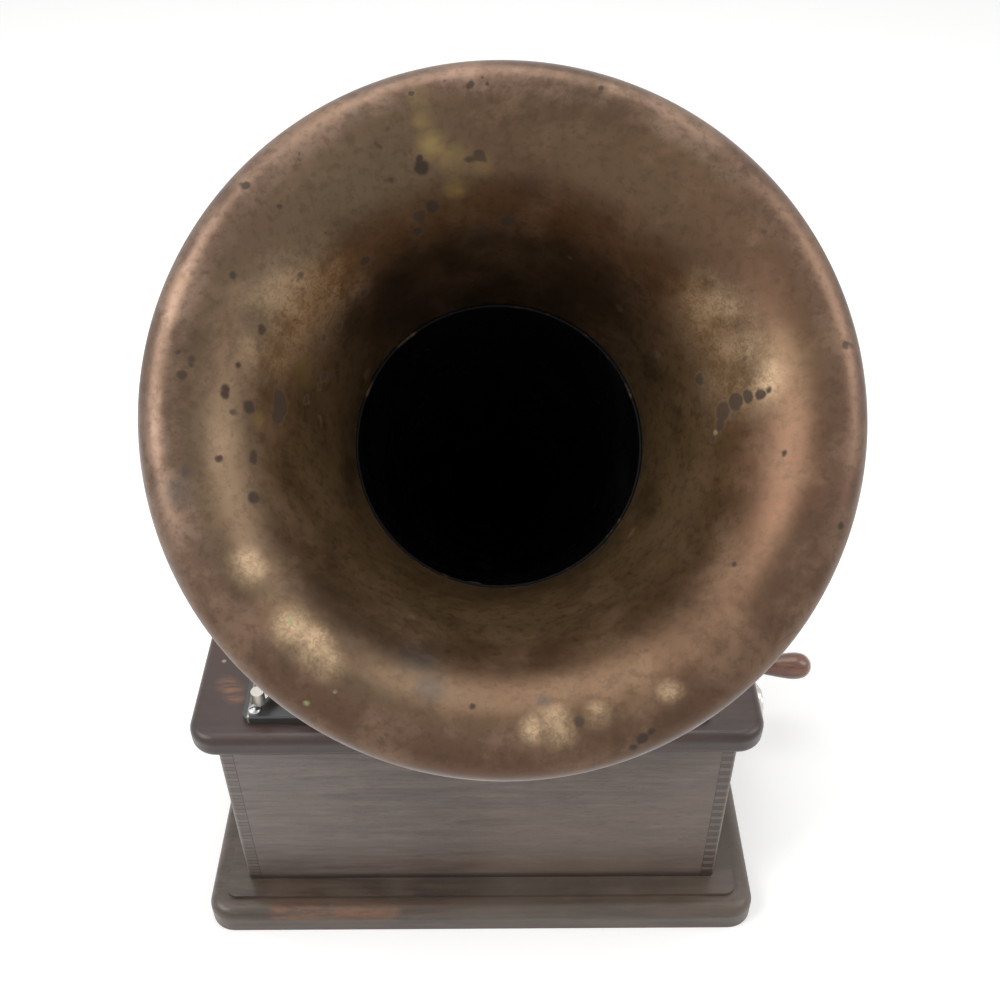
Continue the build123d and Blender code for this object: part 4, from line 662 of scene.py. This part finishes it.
# %% Bell patina
bell_finish, tree, shader = new_finish("aged_bell_brass", (0.20, 0.125, 0.07), 0.42, 0.85)
on_bell = horn_coordinates(tree)
wander = node(tree, "ShaderNodeTexNoise", {"Vector": on_bell, "Scale": 210.0, "Detail": 4.0}).outputs["Color"]
shaken = node(tree, "ShaderNodeVectorMath", {0: wander, 1: (0.5, 0.5, 0.5)}, operation="SUBTRACT").outputs[0]
shaken = node(tree, "ShaderNodeVectorMath", {0: shaken, 3: 0.0019}, operation="SCALE").outputs[0]
uneven = node(tree, "ShaderNodeVectorMath", {0: on_bell, 1: shaken}, operation="ADD").outputs[0]
x, y, z = parts_of(tree, on_bell)
out_from_axis = maths(tree, "SQRT", plus(tree, times(tree, x, x), times(tree, y, y)))
broad = speckle(tree, on_bell, 14, 4, 0.55, 0.3)
mottle = speckle(tree, on_bell, 55, 6, 0.62, 0.2)
fine = speckle(tree, on_bell, 420, 5, 0.7)
worm = speckle(tree, on_bell, 700, 3, 0.6, 1.2)
tone = blend(tree, spread(tree, broad, 0.35, 0.65), (0.120, 0.064, 0.038, 1), (0.135, 0.086, 0.048, 1))
tone = blend(tree, spread(tree, x, 0.03, -0.05, 0, 0.5), tone, (0.128, 0.092, 0.060, 1))
# Painted light and painted shade: near the throat the brass is painted much lighter, but not at the top, which
# keeps the darker tone as painted shade.
near_throat = spread(tree, out_from_axis, 0.066, 0.046, 0, 0.9)
lit_below_shaded_top = spread(tree, y, 0.042, 0.005)
tone = blend(tree, times(tree, near_throat, lit_below_shaded_top), tone, (0.36, 0.225, 0.105, 1))
tone = blend(tree, spread(tree, out_from_axis, 0.074, 0.086, 0, 0.6), tone, (0.150, 0.088, 0.064, 1))
# Painted highlight: pink mottling along the lip, weak all round and at full strength on the upper left and top.
on_lip = spread(tree, out_from_axis, 0.076, 0.080)
lit_left_and_top = larger(tree, spread(tree, x, 0.03, -0.03), spread(tree, y, 0.045, 0.07))
bloom = times(tree, on_lip, spread(tree, mottle, 0.42, 0.60, 0.15, 0.8))
bloom = times(tree, bloom, spread(tree, lit_left_and_top, 0, 1, 0.3, 1))
tone = blend(tree, bloom, tone, (0.26, 0.175, 0.130, 1))
low_lip = times(tree, spread(tree, out_from_axis, 0.072, 0.083), spread(tree, y, -0.015, -0.055))
tone = blend(tree, times(tree, low_lip, 0.65), tone, (0.085, 0.044, 0.025, 1))
tone = blend(tree, spread(tree, mottle, 0.46, 0.68, 0, 0.5), tone, (0.215, 0.132, 0.082, 1))
smoke = speckle(tree, on_bell, 30, 7, 0.7, 0.4)
tone = blend(tree, spread(tree, smoke, 0.50, 0.66, 0, 0.55), tone, (0.070, 0.042, 0.026, 1))
tone = blend(tree, spread(tree, fine, 0.46, 0.66, 0, 0.45), tone, (0.075, 0.046, 0.028, 1))
broken = times(tree, spread(tree, mottle, 0.36, 0.60, 0.3, 1), spread(tree, worm, 0.35, 0.60, 0.55, 1))
# Painted highlights: the tan patches, broken up by mottle.
rubbed = times(tree, nearness(tree, uneven, tan_highlight_patches, 2.1, 0.1), broken)
tone = blend(tree, times(tree, rubbed, 0.95), tone, (0.50, 0.355, 0.215, 1))
gilt = times(tree, nearness(tree, uneven, gilt_patches, 1.6, 0.2), spread(tree, mottle, 0.35, 0.60, 0.2, 0.8))
tone = blend(tree, gilt, tone, (0.30, 0.215, 0.085, 1))
clouds = times(tree, nearness(tree, uneven, grey_clouds, 1.4, 0.2), 0.55)
tone = blend(tree, clouds, tone, (0.075, 0.065, 0.058, 1))
spots = nearness(tree, uneven, damp_spots, 1.6, 0.9)
ring_area = nearness(tree, uneven, ring_stains)
ring_middle = nearness(tree, uneven, [(a, b, c, r * 0.55) for a, b, c, r in ring_stains])
rings = less(tree, ring_area, times(tree, ring_middle, 0.75), clamp=True)
blotch = nearness(tree, uneven, dark_blotch, 1.25, 0.8)
pepper = spread(tree, speckle(tree, on_bell, 130, 2, 0.4), 0.71, 0.76, 0, 0.7)
dark = larger(tree, larger(tree, spots, rings), larger(tree, blotch, pepper))
tone = blend(tree, times(tree, dark, 0.85), tone, (0.038, 0.022, 0.014, 1))
crust = times(tree, nearness(tree, uneven, green_crusts, 1.2, 0.5), spread(tree, fine, 0.35, 0.55))
tone = blend(tree, crust, tone, (0.30, 0.33, 0.16, 1))
plug(tree, tone, shader, "Base Color")
gloss = spread(tree, mottle, 0.3, 0.7, 0.30, 0.46)
gloss = plus(tree, gloss, times(tree, larger(tree, dark, crust), 0.25))
plug(tree, gloss, shader, "Roughness")
bare = less(tree, 0.85, times(tree, larger(tree, dark, crust), 0.45))
plug(tree, bare, shader, "Metallic")
height = plus(tree, times(tree, fine, 0.4), times(tree, crust, 1.0))
raise_surface(tree, shader, height, 0.15, 0.0003)
print("patina ready")

# %% The spun bell
def moved(tree, geometry, x, y):
    """A profile moved in its own plane."""
    there = {"Geometry": geometry, "Translation": combine(tree, x, y)}
    return node(tree, "GeometryNodeTransform", there).outputs[0]


tree, given = new_tree(
    "spun_bell",
    [
        ("Throat radius", "Float", throat_radius),
        ("Mouth radius", "Float", mouth_radius),
        ("Throat height", "Float", throat_at),
        ("Mouth height", "Float", mouth_at),
        ("Lip radius", "Float", lip_radius),
        ("Sheet", "Float", sheet),
        ("Wire radius", "Float", bead),
        ("Around", "Int", 257),
        ("Along", "Int", 70),
    ],
)
lip_middle = less(tree, given["Mouth radius"], given["Lip radius"])
crest_out = less(tree, lip_middle, times(tree, given["Lip radius"], math.sin(lip_lean)))
crest_up = plus(tree, given["Mouth height"], times(tree, given["Lip radius"], math.cos(lip_lean)))
throat_point = combine(tree, given["Throat radius"], given["Throat height"])
first_handle = combine(
    tree,
    plus(tree, given["Throat radius"], 0.005),
    plus(tree, given["Throat height"], 0.024),
)
last_handle = combine(
    tree,
    less(tree, crest_out, 0.020 * math.cos(lip_lean)),
    less(tree, crest_up, 0.020 * math.sin(lip_lean)),
)
flare = node(
    tree,
    "GeometryNodeCurvePrimitiveBezierSegment",
    {
        "Resolution": 120,
        "Start": throat_point,
        "Start Handle": first_handle,
        "End Handle": last_handle,
        "End": combine(tree, crest_out, crest_up),
    },
    mode="POSITION",
).outputs[0]
lip = node(
    tree,
    "GeometryNodeCurveArc",
    {
        "Resolution": 60,
        "Radius": given["Lip radius"],
        "Start Angle": math.pi / 2 + lip_lean,
        "Sweep Angle": -(math.pi / 2 + lip_lean + lip_end),
    },
    mode="RADIUS",
).outputs[0]
lip = moved(tree, lip, lip_middle, given["Mouth height"])
wire = node(
    tree,
    "GeometryNodeCurvePrimitiveCircle",
    {"Resolution": 20, "Radius": given["Wire radius"]},
    mode="RADIUS",
).outputs[0]
wire_in = less(tree, given["Lip radius"], plus(tree, given["Wire radius"], 0.0003))
wire_out = plus(tree, lip_middle, times(tree, wire_in, math.cos(lip_end)))
wire_up = less(tree, given["Mouth height"], times(tree, wire_in, math.sin(lip_end)))
wire = moved(tree, wire, wire_out, wire_up)
both_skins = node(tree, "GeometryNodeJoinGeometry")
tree.links.new(turned(tree, flare, given["Around"], given["Along"]), both_skins.inputs[0])
tree.links.new(turned(tree, lip, given["Around"], 30), both_skins.inputs[0])
welded = node(tree, "GeometryNodeMergeByDistance", {"Geometry": both_skins.outputs[0], "Distance": 0.00001})
skin = welded.outputs[0]
whole = node(tree, "GeometryNodeJoinGeometry")
tree.links.new(sheet_metal(tree, skin, given["Sheet"]), whole.inputs[0])
tree.links.new(turned(tree, wire, given["Around"], 21), whole.inputs[0])
smooth = node(tree, "GeometryNodeSetShadeSmooth", {"Geometry": whole.outputs[0]})
end_tree(tree, smooth.outputs[0], bell_finish)
bell = run_tree("bell_spun", tree)
bell.data.transform(horn_place)
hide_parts("horn_bell")
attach(bell, "horn")

# %% [markdown]
# ## Black enamel
#
# The cone is tinned iron, enamelled black inside and out. Inside it is almost a black hole: only a thin
# streak of light at the throat shows that it is glossy.

# %% Cone enamel
enamel, tree, shader = new_finish("black_enamel", (0.006, 0.006, 0.007), 0.22, coat=0.0, level=0.28)
dust = speckle(tree, placed(tree), 40, 5, 0.6)
tone = blend(tree, spread(tree, dust, 0.5, 0.8), (0.003, 0.003, 0.004, 1), (0.009, 0.008, 0.008, 1))
plug(tree, tone, shader, "Base Color")
plug(tree, spread(tree, dust, 0.3, 0.7, 0.16, 0.34), shader, "Roughness")
wear("horn_cone", enamel)
wear("horn_bell", bell_finish)

elbow_finish, tree, shader = new_finish("elbow_nickel", (0.60, 0.57, 0.52), 0.28, 1.0, level=0.1)
along = parts_of(tree, horn_coordinates(tree))[2]
blackened = spread(tree, along, -0.0165, -0.0160)
cloud = speckle(tree, placed(tree), 60, 4, 0.6)
tone = blend(tree, cloud, (0.62, 0.58, 0.53, 1), (0.42, 0.39, 0.35, 1))
plug(tree, blend(tree, blackened, tone, (0.004, 0.004, 0.005, 1)), shader, "Base Color")
plug(tree, less(tree, 1.0, blackened), shader, "Metallic")
plug(tree, larger(tree, spread(tree, cloud, 0.3, 0.7, 0.24, 0.40), blackened), shader, "Roughness")
wear("horn_elbow", elbow_finish)
print("cone is black")

# %% [markdown]
# ## The rolled end of the cone
#
# Sheet iron is sharp, so the wide end of the cone is curled inwards over a wire before the brass is
# soldered round it. From the front this roll is a second thin bright line inside the throat. It is one
# circle, carried round the axis by the same turning tool as the bell.

# %% Roll at the throat
roll_finish, tree, shader = new_finish("worn_enamel", (0.02, 0.018, 0.016), 0.55, level=0.1)
chips = speckle(tree, placed(tree), 120, 5, 0.65)
tone = blend(tree, spread(tree, chips, 0.54, 0.68), (0.006, 0.006, 0.006, 1), (0.12, 0.085, 0.05, 1))
plug(tree, tone, shader, "Base Color")
tree, given = new_tree(
    "rolled_end",
    [
        ("Ring radius", "Float", throat_radius - 0.0011),
        ("Roll radius", "Float", 0.0005),
        ("Height", "Float", throat_at - 0.001),
    ],
)
section = {"Resolution": 16, "Radius": given["Roll radius"]}
circle = node(tree, "GeometryNodeCurvePrimitiveCircle", section, mode="RADIUS")
circle = moved(tree, circle.outputs[0], given["Ring radius"], given["Height"])
smooth = node(tree, "GeometryNodeSetShadeSmooth", {"Geometry": turned(tree, circle, 257, 17)})
end_tree(tree, smooth.outputs[0], roll_finish)
roll = run_tree("cone_roll", tree)
roll.data.transform(horn_place)
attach(roll, "horn")

# %% [markdown]
# ## The cone's folded seam
#
# The cone is one piece of sheet rolled up, and its two edges are hooked into each other and hammered
# flat. The fold runs straight down the underside, 5 mm wide and a little proud inside and out. Two
# long strips with rounded corners make it, one on the outer face and one on the inner, each drawn from one
# cross-section repeated from end to end of the cone.

# %% Folded seam
seam_angle = math.radians(-102)
cone_slope = (throat_radius - sheet / 2 - 0.00785) / (throat_at - 0.020)


def cone_radius(height):
    """The middle of the cone's sheet at a height along the horn."""
    return 0.00785 + cone_slope * (height - 0.020)


def seam_section(height, inner):
    """The fold's cross-section at a height, as a flat hump on one face of the sheet."""
    radius = cone_radius(height)
    half = 0.0026
    rise = -0.0011 if inner else 0.0011
    hump = [(-1, 0.0), (-0.86, 0.75), (-0.6, 1.0), (0.6, 1.0), (0.86, 0.75), (1, 0.0)]
    section = []
    for side, lift in hump:
        angle = seam_angle + side * half / radius
        out = radius + rise * lift
        section.append((out * math.cos(angle), out * math.sin(angle), height))
    return section


seam_points = []
seam_faces = []
seam_rows = 12
for inner in (False, True):
    first = len(seam_points)
    for row in range(seam_rows + 1):
        seam_points += seam_section(0.024 + (throat_at - 0.0265) * row / seam_rows, inner)
    for row in range(seam_rows):
        for column in range(6):
            after = (column + 1) % 6
            corners = [first + 6 * row + column, first + 6 * row + after]
            corners += [first + 6 * row + 6 + after, first + 6 * row + 6 + column]
            seam_faces.append(corners if not inner else corners[::-1])
    low_cap = list(range(first, first + 6))
    high_cap = list(range(first + 6 * seam_rows, first + 6 * seam_rows + 6))
    seam_faces += [low_cap[::-1], high_cap] if not inner else [low_cap, high_cap[::-1]]
seam_mesh = bpy.data.meshes.new("cone_seam")
seam_mesh.from_pydata(seam_points, [], seam_faces)
seam_mesh.materials.append(enamel)
seam_mesh.transform(horn_place)
seam = bpy.data.objects.new("cone_seam", seam_mesh)
bpy.context.scene.collection.objects.link(seam)
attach(seam, "horn")
print("seam", len(seam_faces), "faces")

# %% [markdown]
# ## The crank's turned handle
#
# The grip is a pear shape turned in a reddish hardwood, with a small bead at the neck where the chisel
# was lifted, and a brass ferrule that keeps the end from splitting. A lathe is a profile carried round
# an axis, so the profile is a short list of points that a smooth curve is drawn through.

# %% Turned wood
reddish = (0.20, 0.07, 0.03)
handle_wood, tree, shader = new_finish("reddish_handle_wood", reddish, 0.32, coat=0.6, coat_rough=0.15)
grain = speckle(tree, placed(tree, (3, 30, 30)), 14, 5, 0.6, 0.8)
hand_wear = speckle(tree, placed(tree), 60, 4, 0.6)
tone = blend(tree, spread(tree, grain, 0.30, 0.70), (0.085, 0.026, 0.013, 1), (0.235, 0.085, 0.038, 1))
tone = blend(tree, spread(tree, hand_wear, 0.50, 0.75, 0, 0.5), tone, (0.30, 0.13, 0.065, 1))
plug(tree, tone, shader, "Base Color")
plug(tree, spread(tree, hand_wear, 0.3, 0.7, 0.26, 0.42), shader, "Roughness")
raise_surface(tree, shader, grain, 0.15, 0.0002)


def smooth_through(points, pieces=8):
    """Points of a smooth curve through the given ones."""
    padded = [points[0], *points, points[-1]]
    curve = []
    for i in range(1, len(padded) - 2):
        p0, p1, p2, p3 = padded[i - 1:i + 3]
        for step in range(pieces):
            t = step / pieces
            spot = []
            for a, b, c, d in zip(p0, p1, p2, p3):
                bend = (2 * a - 5 * b + 4 * c - d) * t**2 + (3 * b - a - 3 * c + d) * t**3
                spot.append(0.5 * (2 * b + (c - a) * t + bend))
            curve.append(spot)
    return curve + [list(points[-1])]


def lathe(name, profile, y, z, finish, around=72):
    """A closed shape turned about a line along X; the profile's ends that touch the line become poles."""
    shape = bmesh.new()
    rings = []
    for x, radius in profile:
        if radius < 1e-6:
            rings.append([shape.verts.new((x, y, z))])
            continue
        ring = []
        for i in range(around):
            angle = math.tau * i / around
            ring.append(shape.verts.new((x, y + radius * math.cos(angle), z + radius * math.sin(angle))))
        rings.append(ring)
    closed = len(rings[0]) > 1 and len(rings[-1]) > 1
    pairs = list(zip(rings, rings[1:])) + ([(rings[-1], rings[0])] if closed else [])
    for first, second in pairs:
        for i in range(around):
            j = (i + 1) % around
            corners = [first[i % len(first)], first[j % len(first)]]
            corners += [second[j % len(second)], second[i % len(second)]]
            shape.faces.new(list(dict.fromkeys(corners)))
    bmesh.ops.recalc_face_normals(shape, faces=shape.faces)
    mesh = bpy.data.meshes.new(name)
    shape.to_mesh(mesh)
    shape.free()
    mesh.materials.append(finish)
    mesh.shade_smooth()
    piece = bpy.data.objects.new(name, mesh)
    bpy.context.scene.collection.objects.link(piece)
    return piece


handle_y = 0.0425
handle_z = 0.0570
pin_hole = [(0.2123, 0.0), (0.2123, 0.00305), (0.1733, 0.00305)]
grip_points = [
    (0.1733, 0.0052), (0.1742, 0.0056), (0.1770, 0.0056), (0.1779, 0.0062), (0.1789, 0.0062), (0.1799, 0.0054),
    (0.1835, 0.0051), (0.1885, 0.0054), (0.1945, 0.0064), (0.2015, 0.0078), (0.2085, 0.0089), (0.2145, 0.0089),
    (0.2192, 0.0074), (0.2222, 0.0043), (0.2230, 0.0018), (0.2232, 0.0),
]
grip = lathe("crank_grip", pin_hole + smooth_through(grip_points), handle_y, handle_z, handle_wood)
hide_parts("crank_handle")
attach(grip, "handle")
ferrule_profile = [
    (0.1735, 0.0054), (0.1735, 0.0062), (0.1738, 0.0065), (0.1768, 0.0065), (0.1771, 0.0062), (0.1771, 0.0054),
]
ferrule = lathe("grip_ferrule", ferrule_profile, handle_y, handle_z, works_brass)
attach(ferrule, "handle")
print("handle", len(grip.data.polygons), "faces")

# %% [markdown]
# ## Sixteen slotted screws
#
# One screw is made and instanced at every hole. The head is a dome from a turned arc, and a Boolean
# takes out the slot. Each point carries its own turn, because no two slots ever stop at the same
# angle. The screws of the crank's escutcheon lie on their side, so their points carry that turn as well.

# %% Slotted screws
screw_spots = [(x, y, 172, 0) for x in (-118.25, 118.25) for y in (-89.5, 89.5)]
screw_spots += [(x + 10, y, 172, 0) for x in (-62, -8, 58) for y in (-71, 16)]
screw_spots += [(-62, -56, 178, 0), (-62, 32, 178, 0), (98, 32, 178, 0), (98, 6, 178, 0)]
screw_spots += [(144, -22.5 - 14.2, 95, 1), (144, -22.5 + 14.2, 95, 1)]
slot_turns = [0.4, 1.3, 2.2, 0.9, 2.7, 0.1, 1.8, 1.1, 2.9, 0.6, 1.5, 2.4, 0.3, 2.0, 1.2, 0.7]
tree, given = new_tree(
    "slotted_screw",
    [
        ("Head radius", "Float", 0.0036),
        ("Head height", "Float", 0.0020),
        ("Shank radius", "Float", 0.0018),
        ("Slot", "Float", 0.0009),
    ],
)
tree.interface.new_socket("Holes", in_out="INPUT", socket_type="NodeSocketGeometry")
tree.interface.move(tree.interface.items_tree["Holes"], 0)
holes = tree.nodes.new("NodeGroupInput").outputs["Holes"]
ball = {"Segments": 36, "Rings": 18, "Radius": given["Head radius"]}
head = node(tree, "GeometryNodeMeshUVSphere", ball).outputs[0]
flatter = maths(tree, "DIVIDE", given["Head height"], given["Head radius"])
pressed = {"Geometry": head, "Scale": combine(tree, 1.0, 1.0, flatter)}
head = node(tree, "GeometryNodeTransform", pressed).outputs[0]
below = node(tree, "GeometryNodeMeshCube", {"Size": (0.02, 0.02, 0.004)}).outputs[0]
below = node(tree, "GeometryNodeTransform", {"Geometry": below, "Translation": (0.0, 0.0, -0.002)}).outputs[0]
slot = node(tree, "GeometryNodeMeshCube", {"Size": combine(tree, 0.02, given["Slot"], 0.002)}).outputs[0]
slot = node(tree, "GeometryNodeTransform", {"Geometry": slot, "Translation": (0.0, 0.0, 0.0021)}).outputs[0]
cut = node(tree, "GeometryNodeMeshBoolean", {"Mesh 1": head}, operation="DIFFERENCE", solver="EXACT")
tree.links.new(below, cut.inputs["Mesh 2"])
tree.links.new(slot, cut.inputs["Mesh 2"])
rod = {"Vertices": 20, "Radius": given["Shank radius"], "Depth": 0.010}
shank = node(tree, "GeometryNodeMeshCylinder", rod).outputs[0]
shank = node(tree, "GeometryNodeTransform", {"Geometry": shank, "Translation": (0.0, 0.0, -0.005)}).outputs[0]
one = node(tree, "GeometryNodeJoinGeometry")
tree.links.new(cut.outputs[0], one.inputs[0])
tree.links.new(shank, one.inputs[0])
facing = node(tree, "GeometryNodeInputNamedAttribute", {"Name": "lay"}, data_type="FLOAT_VECTOR").outputs[0]
spin = node(tree, "GeometryNodeInputNamedAttribute", {"Name": "slot_turn"}, data_type="FLOAT_VECTOR").outputs[0]
first_turn = node(tree, "FunctionNodeEulerToRotation", {0: spin}).outputs[0]
second_turn = node(tree, "FunctionNodeEulerToRotation", {0: facing}).outputs[0]
turns = {0: first_turn, 1: second_turn}
both_turns = node(tree, "FunctionNodeRotateRotation", turns, rotation_space="GLOBAL").outputs[0]
spread_out = {"Points": holes, "Instance": one.outputs[0], "Rotation": both_turns}
set_out = node(tree, "GeometryNodeInstanceOnPoints", spread_out)
end_tree(tree, set_out.outputs[0], steel)
seeds = bpy.data.meshes.new("screw_holes")
seeds.from_pydata([[mm / 1000 for mm in spot[:3]] for spot in screw_spots], [], [])
lay = seeds.attributes.new("lay", "FLOAT_VECTOR", "POINT")
slot_turn = seeds.attributes.new("slot_turn", "FLOAT_VECTOR", "POINT")
for i, (spot, turn) in enumerate(zip(screw_spots, slot_turns)):
    lay.data[i].vector = (0, math.pi / 2 * spot[3], 0)
    slot_turn.data[i].vector = (0, 0, turn)
slotted = run_tree("slotted_screws", tree, seeds=seeds)
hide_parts("screws")
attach(slotted, "cabinet")

# %% [markdown]
# ## The fine thread of the feed screw
#
# The carriage is drawn along by a screw with a thread finer than a millimetre. A thread is a cylinder
# whose radius rises and falls with the angle plus the distance along it, so a grid wrapped round the
# axis is pushed in and out by that one sum. It fades out at both ends, where the plain journals begin.

# %% Feed screw
tree, given = new_tree(
    "fine_thread",
    [
        ("Crest radius", "Float", 0.00475),
        ("Depth", "Float", 0.00042),
        ("Pitch", "Float", 0.0010),
        ("Length", "Float", 0.150),
        ("Journal", "Float", 0.0035),
    ],
)
rows = 1200
unit_grid = {"Size X": 1.0, "Size Y": 1.0, "Vertices X": 25, "Vertices Y": rows}
grid = node(tree, "GeometryNodeMeshGrid", unit_grid).outputs["Mesh"]
x, y, z = parts_of(tree, node(tree, "GeometryNodeInputPosition").outputs[0])
angle = times(tree, plus(tree, x, 0.5), math.tau)
along = times(tree, plus(tree, y, 0.5), given["Length"])
wound = plus(tree, maths(tree, "DIVIDE", along, given["Pitch"]), plus(tree, x, 0.5))
groove = times(tree, maths(tree, "PINGPONG", wound, 0.5), 2.0)
from_end = maths(tree, "MINIMUM", along, less(tree, given["Length"], along))
fade = node(tree, "ShaderNodeMapRange", {0: from_end, 1: 0.0005, 2: 0.003, 3: 0.0, 4: 1.0}).outputs[0]
depth = times(tree, times(tree, groove, fade), given["Depth"])
radius = less(tree, given["Crest radius"], depth)
shoulder = node(tree, "ShaderNodeMapRange", {0: from_end, 1: 0.0, 2: 0.0001, 3: 0.0, 4: 1.0}).outputs[0]
widths = {0: shoulder, 2: given["Journal"], 3: radius}
radius = node(tree, "ShaderNodeMix", widths, data_type="FLOAT").outputs[0]
place = combine(
    tree,
    along,
    times(tree, radius, maths(tree, "COSINE", angle)),
    times(tree, radius, maths(tree, "SINE", angle)),
)
threaded = node(tree, "GeometryNodeSetPosition", {"Geometry": grid, "Position": place}).outputs[0]
to_bearing = {"Geometry": threaded, "Translation": (-0.067, 0.006, 0.206)}
threaded = node(tree, "GeometryNodeTransform", to_bearing).outputs[0]
closed = node(tree, "GeometryNodeMergeByDistance", {"Geometry": threaded, "Distance": 0.000002}).outputs[0]
journals = node(tree, "GeometryNodeJoinGeometry")
for left, length in ((-0.0875, 0.0205), (0.083, 0.010)):
    plain = {"Vertices": 32, "Radius": given["Journal"], "Depth": length}
    bar = node(tree, "GeometryNodeMeshCylinder", plain).outputs[0]
    middle = (left + length / 2, 0.006, 0.206)
    laid = {"Geometry": bar, "Rotation": (0, math.pi / 2, 0), "Translation": middle}
    tree.links.new(node(tree, "GeometryNodeTransform", laid).outputs[0], journals.inputs[0])
tree.links.new(closed, journals.inputs[0])
smooth = node(tree, "GeometryNodeSetShadeSmooth", {"Geometry": journals.outputs[0]})
end_tree(tree, smooth.outputs[0], steel)
thread = run_tree("feed_thread", tree)
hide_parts("feed_screw")
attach(thread, "feed_group")

# %% Close
bpy.context.scene.view_settings.view_transform = "Standard"
